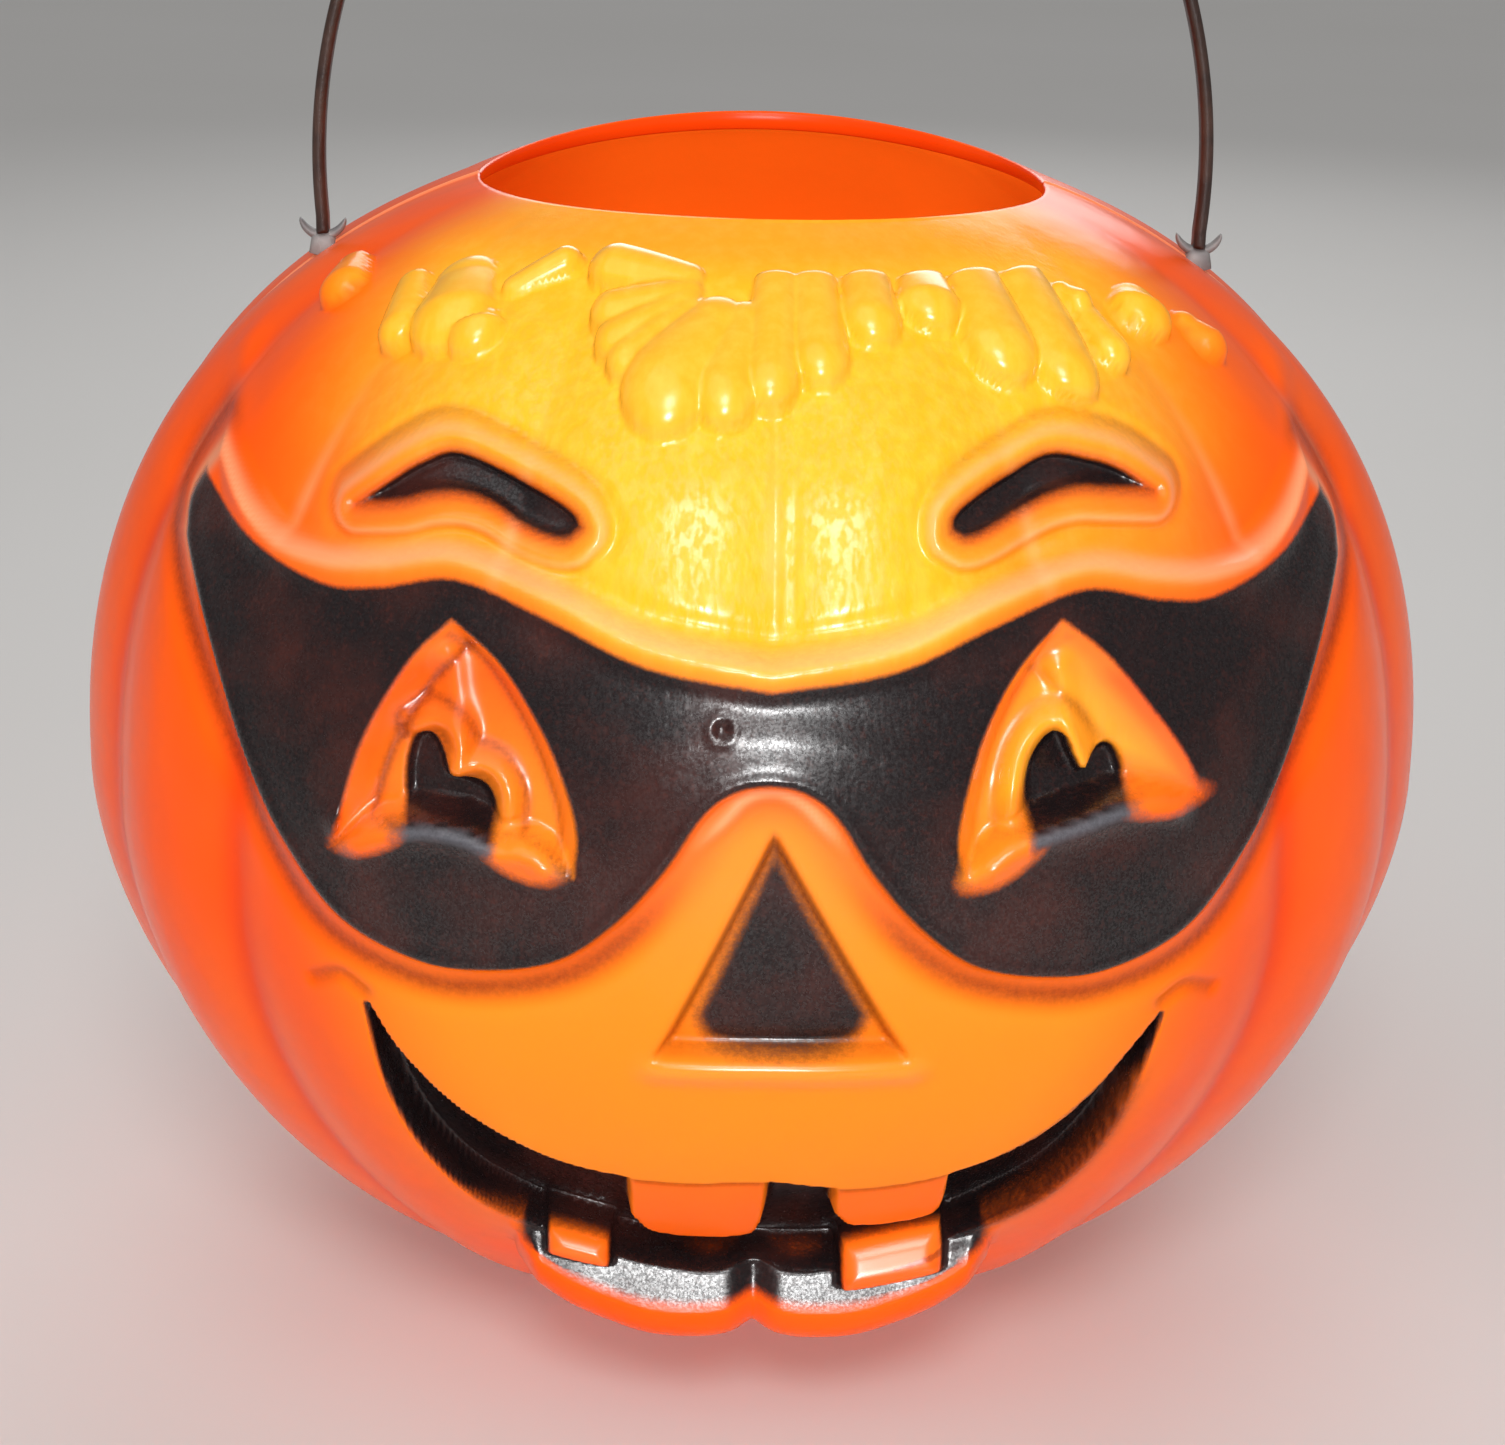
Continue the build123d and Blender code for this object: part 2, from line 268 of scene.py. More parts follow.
left_eye = eye_form(
    outer=[(-43.4, 134.2), (-48.6, 129), (-53.2, 122), (-57, 114), (-60.6, 100.8)],
    lid=[(-60.6, 100.8), (-55.6, 104.6), (-48, 107.2), (-42, 107.4),
         (-37, 106.2), (-32, 106.2), (-26.2, 102.6)],
    inner=[(-26.2, 102.6), (-25.8, 108.6), (-27.8, 115.6), (-31.4, 122.6), (-36.6, 129.4), (-43.4, 134.2)],
    pupil=[[(-43.8, 112.9), (-44.6, 115.4), (-46.4, 117.5), (-48.6, 116.6), (-49.8, 112), (-49.4, 104)],
           [(-49.4, 104), (-38, 103)],
           [(-38, 103), (-37.2, 108.6), (-38.2, 111.6), (-40.6, 112.6), (-43.8, 112.9)]],
    iris=[[(-48.6, 119), (-46, 120.2), (-43.4, 119.6), (-42, 117), (-42.6, 114.6)],
          [(-42.6, 114.6), (-39.4, 115.4), (-36.8, 114.4), (-35.4, 111.4), (-35.8, 105)]],
    fold=[(-43.6, 128), (-43, 124), (-41.8, 119.6), (-42.6, 114.6)],
    outer_run=4.6, inner_run=2.4)
right_eye = eye_form(
    outer=[(39.6, 135.8), (46.2, 130.6), (52.8, 123), (58.2, 115.8), (61, 109.6)],
    lid=[(61, 109.6), (54, 110.8), (48, 111), (42.5, 109.9), (37, 108.8), (32, 107.2), (26.4, 103)],
    inner=[(26.4, 103), (25.4, 108.4), (26.8, 116), (29.4, 123.4), (33.6, 130.2), (39.6, 135.8)],
    pupil=[[(42.9, 114.6), (41.6, 117), (40.2, 119.8), (38, 119.4), (35.8, 116.4), (35.2, 112), (36.4, 105)],
           [(36.4, 105), (49.8, 107.5)],
           [(49.8, 107.5), (49.3, 112.6), (48.2, 116), (46.6, 117.3), (44.8, 116.6), (42.9, 114.6)]],
    iris=[[(33.6, 106), (33.2, 112), (34.2, 118), (37, 121.6), (40, 122), (42, 118.4), (43, 116.4)]],
    fold=[(39.4, 128.5), (40.8, 124), (42, 119.6), (42.9, 115.6)],
    outer_run=8.0, inner_run=2.6)
print("eye rings have", len(left_eye["ring"]), "and", len(right_eye["ring"]), "points")

# %% Nose, grin, teeth and lip
nose_ring = ring([(0.7, 109.8), (-15.8, 74.6)], [(-15.8, 74.6), (20.8, 74.6)], [(20.8, 74.6), (0.7, 109.8)])
nose_paint_ring = ring([(0.9, 105.6), (-9.4, 80.4)],
                       [(-9.4, 80.4), (-7, 76.6), (2, 75.4), (12, 76.4), (14.6, 80.6)],
                       [(14.6, 80.6), (0.9, 105.6)])
grin_top = [(-56, 77.5), (-51.4, 70), (-42.8, 61.2), (-33, 55.2), (-24, 52.2), (-12, 51.2), (0, 51.8),
            (13, 50.2), (27, 51.6), (39.6, 57), (47.7, 64.6), (52.8, 71.4), (57, 77)]
grin_foot = [(57, 77), (54.4, 66), (50.6, 54.6), (45, 45.6), (38, 40), (29, 35.4), (15, 31.4), (0, 31.2),
             (-15, 31.4), (-29, 35.6), (-40, 41), (-47.6, 49.6), (-53, 62), (-56, 77.5)]
grin_ring = ring(grin_top, grin_foot)
grin_edge = smooth_stroke(grin_top)


def tooth_ring(left, right, low, high, tilt):
    """Rounded block; tilt lifts its right side."""
    middle = (left + right) / 2
    cut = min(right - left, high - low) / 5
    corners = [(left, low + cut), (left + cut, low), (right - cut, low), (right, low + cut),
               (right, high - cut), (right - cut, high), (left + cut, high), (left, high - cut)]
    return ring([(x, z + tilt * (x - middle)) for x, z in corners + corners[:1]])


upper_teeth = [tooth_ring(-18.8, 1.1, 37.5, 60, -0.02), tooth_ring(11, 27.9, 40.2, 60, 0.03)]
lower_teeth = [tooth_ring(-31.2, -21.2, 32.2, 37.2, -0.2), tooth_ring(12.6, 28.4, 29.8, 37.6, 0.18)]
lip_middle = smooth_stroke([(0, 26), (3.5, 24.8), (8, 24.2), (15, 24.5),
                            (21, 26), (27.5, 28.6), (34, 32.8), (38, 36)])
dimples = [smooth_stroke([(-64, 79), (-60, 81.2), (-56.4, 79.4)]),
           smooth_stroke([(57, 79), (60.6, 80.8), (65, 78.8)])]
print("grin ring has", len(grin_ring), "points")

# %% [markdown]
# ## Leaves of the wreath
# The wreath is a fringe of plump fingers that hang from a crisp edge on the shoulder. Each finger is a
# capsule in plan view, drawn from root to tip with its width; where two meet, the higher one wins, which
# leaves the sharp valleys of the real casting.

# %% Fingers in plan view
# Each finger: x and y of its root, x and y of its tip, and its width.
fingers = [
    (-62.5, -24.5, -63.5, -38, 6.8), (-51.8, -41.5, -53.2, -57.4, 6.4), (-43.4, -44, -46.3, -62.4, 11.6),
    (-41.3, -57, -42, -65.5, 8), (-39, -56, -27, -53.5, 5), (-9, -63.4, -25.6, -56, 7.6),
    (-9, -63.8, -25.4, -66.5, 6.6), (-9.4, -64.4, -24.4, -72, 6.2), (-9.4, -65.6, -22.4, -75.6, 6),
    (-4, -66, -18.6, -82.6, 12.4), (-2.8, -66, -8, -83.8, 9), (0.8, -60, -0.8, -82, 8),
    (5.6, -60, 6.6, -79, 8), (13, -59, 14, -72.4, 8.4), (21.4, -59, 22.6, -68, 9),
    (28.8, -55, 33.4, -72, 10.4), (36.4, -51.5, 42.8, -70.6, 9.4), (40.5, -50, 46, -54, 4.6),
    (44, -51.5, 50, -61.6, 5.8), (54.2, -39.9, 54.8, -51, 8.6), (60.3, -40, 67.4, -45, 5.8),
]
LEAF_RISE, OVERLAP = 3.4, 1.06
WREATH_EDGE, EDGE_LEFT, EDGE_RIGHT = 62.2, -8.0, 43.0
WREATH_BACK, WREATH_INNER, WREATH_OUTER = -24.0, 52.0, 90.0


def wreath_height(x, y, z):
    """Height of the leaves over the shoulder at plan places x, y."""
    height = np.zeros(x.shape)
    reach = np.hypot(x, y)
    near = (z > BELT) & (y < WREATH_BACK) & (reach > WREATH_INNER) & (reach < WREATH_OUTER)
    tall = np.zeros(near.sum())
    for x1, y1, x2, y2, wide in fingers:
        root, tip = np.array((x1, y1)), np.array((x2, y2))
        inset = (tip - root) / np.hypot(*(tip - root)) * wide / 2
        hangs = EDGE_LEFT < x1 < EDGE_RIGHT and np.hypot(*root) < WREATH_EDGE + 1
        start = root if hangs else root + inset
        gap, along = line_distance(x[near], y[near], np.array((start, tip - inset)))
        half = OVERLAP * wide / 2 * (0.76 + 0.24 * along)
        dome = np.clip(1 - (gap / half) ** 2, 0, None) ** 0.5
        tall = np.maximum(tall, dome * (0.5 + 0.06 * wide) * (0.6 + 0.45 * along))
    edge = ease(reach[near], WREATH_EDGE - 0.6, WREATH_EDGE + 0.6)
    hanging = (x[near] > EDGE_LEFT) & (x[near] < EDGE_RIGHT)
    height[near] = LEAF_RISE * tall * np.where(hanging, edge, 1.0)
    return height


print("wreath fingers:", len(fingers))

# %% [markdown]
# ## Relief of the face
# Heights are added along the mould's draw, so outlines stay where they were drawn. Each form is one line of
# distances: a plate eases up over its edge, a roll is a hump beside its edge, a recess eases down inside it.


# %% Heights of raised forms
MASK_STEP, BAND_FALL, MASK_FOOT_RISE, GROOVE_DEPTH, TEMPLE_RISE = 2.1, 1.1, 1.5, 1.1, 1.3
BROW_BORDER, BROW_DEPTH, BRIDGE_RISE = 1.4, 1.7, 1.1
LIP_REACH, LIP_LEVEL, LIP_LOW, LIP_SLOPE, LIP_END = 89.0, 26.0, 6.6, 0.55, 38.0


def mask_height(x, z, inside):
    """Raised mask: crisp step and sloping band under the forehead, rolled edge and groove at the foot."""
    crest = line_distance(x, z, crest_line)[0]
    foot = line_distance(x, z, foot_line)[0]
    upper = ease(foot - crest, -5, 5)
    band = MASK_STEP * ease(inside, -0.5, 1.3) - BAND_FALL * ease(inside, 1.0, 6.5)
    top = band - 0.5 * hump(inside + 1.8, 1.5)
    groove = GROOVE_DEPTH * hump(inside + 3.0, 2.4) * ease(np.abs(x), 9, 20)
    low = MASK_FOOT_RISE * ease(inside, -0.4, 1.6) - groove + 0.25 * hump(inside - 1.6, 1.0)
    temple, along = line_distance(np.abs(x), z, temple_line)
    ridge = TEMPLE_RISE * hump(temple, 2.2) * ease(along, 0, 0.2) * (1 - ease(along, 0.55, 1.0))
    return upper * top + (1 - upper) * low + ridge


def brow_height(x, z):
    """Sunk brows inside a rolled border."""
    inside = np.maximum(depth_inside(x, z, left_brow_ring), depth_inside(x, z, right_brow_ring))
    border = BROW_BORDER * hump(inside + 2.3, 1.5) - 0.6 * hump(inside + 4.8, 1.0)
    return border - BROW_DEPTH * ease(inside, -0.3, 1.3), inside


def lip_height(x, y, z):
    """Rise of the rolled lower lip: round below, a sloping facet above, a notch in the middle."""
    middle = np.interp(np.abs(x), *lip_middle.T)
    over = z - middle
    top = 5.4 + 2.6 * np.clip(np.abs(x) / 22, 0, 1) ** 2
    crest = 1.3 * hump(x, 2.2) + LIP_SLOPE * (middle - LIP_LEVEL) - LIP_REACH
    under = np.sqrt(np.clip(1 - (np.minimum(over, 0) / LIP_LOW) ** 2, 0, None))
    ahead = y - crest - np.where(over < 0, LIP_LOW * (1 - under), LIP_SLOPE * over)
    shown = ease(over, -LIP_LOW, 0.8 - LIP_LOW) * (1 - ease(over, top, top + 0.8))
    shown *= ease(np.abs(x), LIP_END, LIP_END - 6)
    return np.clip(ahead, 0, None) * shown, over, top, ahead


def bridge_height(x, z):
    """Raised arch over the nose; its crest gets a painted highlight later."""
    arch = smooth_stroke([(-14, 103), (-6.4, 110.8), (-3.2, 114), (0.4, 115),
                          (3.8, 113.8), (7, 110.8), (14, 103)])
    gap, along = line_distance(x, z, arch)
    return BRIDGE_RISE * hump(gap, 1.5) * ease(np.abs(along - 0.5), 0.5, 0.2)


# %% Depths of recesses
EYE_DEPTH, PUPIL_DEPTH, LID_BULGE, LID_WALL, IRIS_RISE, FOLD_RISE = 4.6, 2.2, 1.5, 1.8, 2.5, 1.5
NOSE_DEPTH, NOSE_LEDGE, GRIN_DEPTH, TOOTH_DEPTH = 4.6, 0.9, 8.6, 2.0
LOWER_TOOTH_RISE, LOWER_TOOTH_ROUND = 2.8, 3.2


def eye_height(x, z, eye):
    """Sunk eye: flat sloping walls, a bulging lower lid, a rolled iris and a deeper pupil."""
    inside = depth_inside(x, z, eye["ring"])
    pupil = depth_inside(x, z, eye["pupil"])
    outer_gap = line_distance(x, z, eye["outer"])[0]
    inner_gap = line_distance(x, z, eye["inner"])[0]
    lid_gap, along = line_distance(x, z, eye["lid"])
    walls = [outer_gap / eye["outer_run"], inner_gap / eye["inner_run"], lid_gap / LID_WALL]
    rise = -EYE_DEPTH * np.clip(np.minimum.reduce(walls), 0, 1) * (inside > 0)
    lid_ends = ease(np.abs(along - 0.5), 0.5, 0.38)
    rise += LID_BULGE * hump(lid_gap - 1.7, 1.9) * lid_ends * (inside < 0)
    well = ease(inside, 0.4, 2.6) * (1 - ease(pupil, -0.7, 0.5))
    roll_gap = np.minimum.reduce([line_distance(x, z, arc)[0] for arc in eye["iris"]])
    rise += IRIS_RISE * hump(roll_gap, 1.9) * well
    rise += FOLD_RISE * hump(line_distance(x, z, eye["fold"])[0], 2.0) * well
    rise -= PUPIL_DEPTH * ease(pupil, -0.7, 1.1) * ease(inside, 0.0, 1.8)
    # painted shade: dark lines at the feet of the eye walls and beside the iris rolls
    wall_foot_shade = hump(outer_gap - eye["outer_run"], 0.7) + 0.7 * hump(inner_gap - eye["inner_run"], 0.6)
    wall_foot_shade = (wall_foot_shade + 0.85 * hump(roll_gap - 2.5, 0.7) * (pupil < -1)) * (inside > 1)
    # painted reflection: a grey sheen on the black paint along the lid's crest
    lid_sheen = hump(lid_gap - 1.0, 0.9) * lid_ends * ease(-inside, 0.0, 0.5)
    return dict(rise=rise, inside=inside, pupil=pupil, wall_foot_shade=wall_foot_shade, lid_sheen=lid_sheen)


def nose_height(x, z):
    """Sunk triangle over a short rolled ledge."""
    inside = depth_inside(x, z, nose_ring)
    ledge = NOSE_LEDGE * hump(z - 72.8, 1.7) * ease(x, -19, -14) * ease(-x, -25, -20)
    return ledge - NOSE_DEPTH * ease(inside, -0.2, 2.1), inside


def tooth_edge(inside):
    return ease(inside, -0.6, 0.8)


def grin_edge_step(inside):
    return ease(inside, -0.5, 0.9)


def grin_height(x, z):
    """Deep grin: upper teeth fill it almost up to the surface, lower teeth are domes on the lip."""
    inside = depth_inside(x, z, grin_ring)
    upper = np.maximum.reduce([depth_inside(x, z, t) for t in upper_teeth])
    lower = np.maximum.reduce([depth_inside(x, z, t) for t in lower_teeth])
    hollow = -GRIN_DEPTH * grin_edge_step(inside)
    upper_front = -TOOTH_DEPTH * ease(inside, -0.3, 0.5)
    from_middle = 1 - np.clip(lower / LOWER_TOOTH_ROUND, 0, 1)
    dome = LOWER_TOOTH_RISE * np.sqrt(1 - from_middle ** 2)
    return hollow + tooth_edge(upper) * (upper_front - hollow), inside, upper, lower, dome


# %% [markdown]
# ## One shell
# Now the forms are put together on the grid. The smooth body gets its ribs, the muzzle and the mask press
# the ribs flat, the face is added along Y and the leaves along the normal. The knife ran a little low in
# front and high behind, so the top levels lean with it. Sculpting would do all this by hand; sums of
# distances can be changed later without starting again.


# %% Shape of the outside
CUT_LOW, CUT_HIGH, CUT_BLEND = 1.15, 2.0, 9.0
FRONT_TURN, RIB_REACH, CREASE_WIDE = 75.0, 0.52, 0.16


def body_points(turn, level, offset):
    """Smooth body with its dipped shoulder and slanting cut: places and normals for turns and levels."""
    near_cut = ease(level, rim_level - CUT_BLEND, rim_level) * np.cos(turn) ** 2
    level = level - CUT_LOW * near_cut * (np.cos(turn) > 0)
    radial, vertical = profile_normal(level)
    lift = np.clip(level - BELT, 0, None) / UPPER
    r = profile_radius(level) + offset * radial
    dip = SHOULDER_DIP * lift ** 2 * np.sin(turn) ** 2 - CUT_HIGH * near_cut * (np.cos(turn) < 0)
    places = np.stack([r * np.sin(turn), -r * np.cos(turn), level - dip + offset * vertical], -1)
    normals = np.stack([radial * np.sin(turn), -radial * np.cos(turn), vertical], -1)
    return places, normals


def rib_sink(turn, level):
    """Depth below the rib tops: zero along a rib, deepest in a softly rounded crease."""
    share = np.mod(turn * RIBS / (2 * np.pi), 1.0)
    from_crease = 1 - np.abs(2 * share - 1)
    soft = np.sqrt(from_crease ** 2 + CREASE_SOFT ** 2) - CREASE_SOFT
    fade = 1 - np.clip(np.abs(level - BELT) / (RIB_REACH * HEIGHT), 0, 1) ** 4
    return CREASE_DEPTH * fade * (1 - np.clip(soft, 0, 1)) ** 2, hump(from_crease, CREASE_WIDE) * fade


turn_grid, level_grid = np.meshgrid(turns[:-1], levels)
places, normals = body_points(turn_grid, level_grid, 0.0)
x, z = places[..., 0], places[..., 2]
front = (places[..., 1] < 0) & (np.abs(turn_grid) < np.radians(FRONT_TURN))
fx, fz = x[front], z[front]
sink, in_crease = rib_sink(turn_grid, level_grid)
print("front points:", len(fx))

# %% Measure the face
mask_in = depth_inside(fx, fz, mask_ring)
muzzle_in = depth_inside(fx, fz, muzzle_ring)
brow_rise, brow_in = brow_height(fx, fz)
nose_rise, nose_in = nose_height(fx, fz)
grin_rise, grin_in, upper_in, lower_in, lower_dome = grin_height(fx, fz)
left_form, right_form = (eye_height(fx, fz, eye) for eye in (left_eye, right_eye))
eye_in = np.maximum(left_form["inside"], right_form["inside"])
pupil_in = np.maximum(left_form["pupil"], right_form["pupil"])
lip_rise, over_lip, lip_edge, lip_ahead = lip_height(fx, places[..., 1][front], fz)
dimple = sum(hump(line_distance(fx, fz, d)[0], 1.1) for d in dimples)
print("deepest grin %.1f mm, proudest lip %.1f mm" % (grin_rise.min(), lip_rise.max()))

# %% Add it up
MUZZLE_RISE, FOREHEAD_DISH, CENTRE_LINE, SEAM_RISE = 0.5, 1.9, 0.3, 0.4
DENT, DENT_RING = (-6.6, 123.4), 1.5
flatten = np.maximum(ease(mask_in, -1.5, 1.5), 0.86 * ease(muzzle_in, -5, 7))
flatten = np.maximum(flatten, ease(lip_rise, 0.2, 2.0))
bridge_rise = bridge_height(fx, fz)
face_rise = mask_height(fx, fz, mask_in) + brow_rise + nose_rise + bridge_rise
face_rise += MUZZLE_RISE * ease(muzzle_in, -5, 7) * (1 - ease(mask_in, -1, 1))
face_rise += left_form["rise"] + right_form["rise"] - dimple
forehead_dish = ease(-fz, -156, -135) * (1 - ease(np.abs(fx), 20, 46)) * (1 - ease(mask_in, -0.6, 0.8))
face_rise -= FOREHEAD_DISH * forehead_dish
centre_lines = hump(fx - 0.4, 0.45) + 0.7 * hump(fx - 3.0, 0.45)
face_rise -= CENTRE_LINE * centre_lines * ease(fz, 134, 138) * (1 - ease(fz, 158, 163))
dent = np.hypot(fx - DENT[0], fz - DENT[1])
face_rise += 0.3 * hump(dent - DENT_RING, 0.6) - 0.6 * hump(dent, 1.1)
in_grin = grin_edge_step(grin_in)
face_rise = face_rise * (1 - in_grin) + grin_rise
draw = np.clip(-normals[..., 1][front], 0.5, 1)
sink[front] *= 1 - flatten
leaf_rise = wreath_height(*np.moveaxis(places, -1, 0))
seam = SEAM_RISE * hump(places[..., 1], 0.55)
outer = places + normals * (leaf_rise + seam - sink * (1 - ease(leaf_rise, 0, 1.2)))[..., None]
ahead = face_rise / draw + lip_rise * (1 - in_grin)
outer[front, 1] -= ahead + tooth_edge(lower_in) * (lip_ahead + lower_dome - ahead)
print("outer shell is %.1f by %.1f by %.1f mm" % tuple(np.ptp(outer.reshape(-1, 3), axis=0)))

# %% [markdown]
# ## Inside and rim
# The inside is seen through the round mouth, so it is a real surface: the same ribs, one wall further in,
# with a coarser set of levels. Behind the eyes, the nose and the grin it steps back with the outside. The
# knife leaves a rim that is a hair uneven, with a thicker edge behind.

# %% Inside surface
INNER_STEP, SPREAD_TURNS, RECESS_ROOM = 3.2, 8, 1.1
inner_levels = spaced_levels(WALL, rim_level - 0.1, lambda z: np.full(z.shape, INNER_STEP))
inner_turn, inner_level = np.meshgrid(turns[:-1], inner_levels)
inner, inner_normals = body_points(inner_turn, inner_level, -WALL)
inner_sink = rib_sink(inner_turn, inner_level)[0]
inner = inner - inner_normals * inner_sink[..., None]
recess = np.zeros(places.shape[:2])
recess[front] = np.clip(-face_rise / draw, 0, None)
spread = np.maximum.reduce([np.roll(recess, k, axis=1) for k in range(-SPREAD_TURNS, SPREAD_TURNS + 1)])
behind = np.array([spread[np.abs(levels - z) < 1.5 * INNER_STEP].max(axis=0) for z in inner_levels])
inner[..., 1] += RECESS_ROOM * behind
inner[..., 2] = np.maximum(inner[..., 2], WALL)
print("inner grid:", inner.shape[1], "x", inner.shape[0])

# %% Rim and foot
RIM_ROUND, RIM_THICKER, RIM_FLARE = 0.35, 1.2, 2.2
FOOT_DISH, FLOOR_RISE = 1.1, WALL + 1.4
cut_wobble = 0.2 * np.sin(3 * turns[:-1] + 1) + 0.12 * np.sin(7 * turns[:-1])


def ring_at(r, drop, base):
    """A ring of points at radius r, drop below the heights of base."""
    around = turns[:-1]
    return np.stack([r * np.sin(around), -r * np.cos(around), base - drop], -1)


top = outer[-1, :, 2]
cut_radius = np.hypot(outer[-1, :, 0], outer[-1, :, 1]) + cut_wobble
rim_deep = WALL + RIM_THICKER * np.clip(-np.cos(turns[:-1]), 0, 1)
outer[-1] = ring_at(cut_radius + RIM_ROUND, 0.05, top)
rim_rings = [ring_at(cut_radius, RIM_ROUND, top), ring_at(cut_radius, rim_deep - RIM_ROUND, top),
             ring_at(cut_radius + RIM_ROUND, rim_deep, top)]
inner[-1] = ring_at(cut_radius + RIM_FLARE, rim_deep + 0.25, top)
foot = profile_radius(np.array(0.0))
ground = np.zeros(len(top))
foot_steps = [(0.1, FOOT_DISH), (0.5, FOOT_DISH), (0.8, 1.0), (0.86, 0.35), (0.9, 0.0), (0.985, 0.0)]
foot_rings = [ring_at(foot * share, -height, ground) for share, height in foot_steps]
outer[0] = ring_at(foot + 0.35, -0.5, ground)
floor_rings = [ring_at(foot * share, -FLOOR_RISE, ground) for share in (0.9, 0.5, 0.1)]
print("rim between %.1f and %.1f mm high" % (top.min(), top.max()))

# %% [markdown]
# ## From rings to a mesh
# Stacked in order, the rings run from the middle of the foot up the outside, over the rim, down the inside
# and back to the middle of the floor. Neighbouring rings are joined by quads and the two ends are closed by
# fans, which gives one watertight mesh with no loose faces.


# %% Mesh of the shell
def mesh_piece(name, points, faces):
    """A smooth-shaded object from points in millimetres."""
    mesh = bpy.data.meshes.new(name)
    mesh.from_pydata((np.asarray(points) * MM).tolist(), [], faces)
    mesh.shade_smooth()
    piece = bpy.data.objects.new(name, mesh)
    bpy.context.scene.collection.objects.link(piece)
    return piece


def ring_faces(count, around, flip=False):
    """Quads between stacked closed rings, then a fan at each end to two extra points."""
    rows = np.arange(count - 1)[:, None] * around
    here = np.arange(around)[None, :]
    there = (here + 1) % around
    above = rows + around
    quads = np.stack([rows + here, rows + there, above + there, above + here], -1).reshape(-1, 4)
    first, last = count * around, count * around + 1
    turn = np.arange(around)
    caps = [(first, (k + 1) % around, k) for k in turn]
    caps += [(last, (count - 1) * around + k, (count - 1) * around + (k + 1) % around) for k in turn]
    faces = quads.tolist() + [list(map(int, c)) for c in caps]
    return [f[::-1] for f in faces] if flip else faces


stack = foot_rings + list(outer) + rim_rings + list(inner[::-1]) + floor_rings
around = len(turns) - 1
points = np.vstack(stack + [[(0, 0, FOOT_DISH)], [(0, 0, FLOOR_RISE)]])
pail = mesh_piece("pumpkin_pail", points, ring_faces(len(stack), around))
first_outer = len(foot_rings) * around
outer_count = outer.shape[0] * around
first_inner = first_outer + outer_count + len(rim_rings) * around
print("pumpkin_pail:", len(points), "points")

# %% [markdown]
# ## Where the paint goes
# Spray paint needs only distances: how far a point lies inside the black stencil, and how much yellow or
# haze it caught. Painted light, shade and highlights are placed the same way. They are stored on the mesh as
# named values, and the material reads them there.

# %% Black stencil
MASK_FUZZ, BROW_FUZZ, NOSE_FUZZ, PUPIL_FUZZ, TOOTH_FUZZ = 0.55, 0.5, 1.5, 0.5, 0.35
LIP_BLACK_FROM, LIP_BLACK_HALF = 1.2, 35
lid_patches = [(-55.2, 103.6, 4.8, 2.0, 0.42), (-33.2, 104.4, 5.2, 2.8, -0.3),
               (31.6, 105.2, 6.0, 2.9, 0.5), (55.4, 110.4, 5.6, 2.0, -0.02)]


def patch_inside(x, z, middle_x, middle_z, wide, tall, tilt):
    """Roughly the distance inside a tilted ellipse."""
    c, s = math.cos(tilt), math.sin(tilt)
    u = ((x - middle_x) * c + (z - middle_z) * s) / wide
    v = (-(x - middle_x) * s + (z - middle_z) * c) / tall
    return (1 - np.hypot(u, v)) * min(wide, tall)


mask_paint = np.minimum(depth_inside(fx, fz, paint_ring), mask_in - 0.8)
bare = np.maximum.reduce([patch_inside(fx, fz, *p) for p in lid_patches])
mask_paint = np.minimum(mask_paint, -np.maximum(eye_in - 0.2, bare))
nose_paint = depth_inside(fx, fz, nose_paint_ring)
grin_paint = np.minimum(grin_in + 0.5, -upper_in - 0.1)
lip_paint = np.minimum(over_lip - LIP_BLACK_FROM, lip_edge + 2 - over_lip)
lip_paint = np.minimum(lip_paint, LIP_BLACK_HALF - np.abs(fx))
grin_paint = np.minimum(np.maximum(grin_paint, lip_paint), 0.6 - lower_in)
pupil_paint = np.minimum(pupil_in + 0.3, eye_in + 2.5)
coats = np.stack([mask_paint, brow_in - 0.1, nose_paint, grin_paint, pupil_paint])
black = coats.max(axis=0)
lip_fuzz = 0.3 + 0.9 * (1 - ease(fz, 34, 46)) + 0.9 * ease(fx, 30, 45) * (1 - ease(fz, 60, 72))
edge_fuzz = np.stack(np.broadcast_arrays(MASK_FUZZ, BROW_FUZZ, NOSE_FUZZ, lip_fuzz, PUPIL_FUZZ))
fuzz = np.take_along_axis(edge_fuzz, coats.argmax(axis=0)[None], 0)[0]
fuzz = np.maximum(fuzz, 1.2 * hump(bare, 2.0))
fuzz = np.where(np.abs(lower_in) < 2, TOOTH_FUZZ, fuzz)
print("painted black: %.0f%% of the front" % (100 * np.mean(black > 0)))

# %% [markdown]
# ## Soft coats
# Where the spray drifted past its stencil it left a brown haze; the same coat also holds painted shade in
# the hollows, creases and wall feet and below the mask. Pale lines on crests, creases, the nose arch and the
# parting line are painted highlights. The forehead and the leaves have a thin coat of yellow, and the front
# is painted lighter where light falls on it. Each coat is a sum of soft bands, placed by their distance from
# the outlines of the mask, nose, brows, eyes and grin.

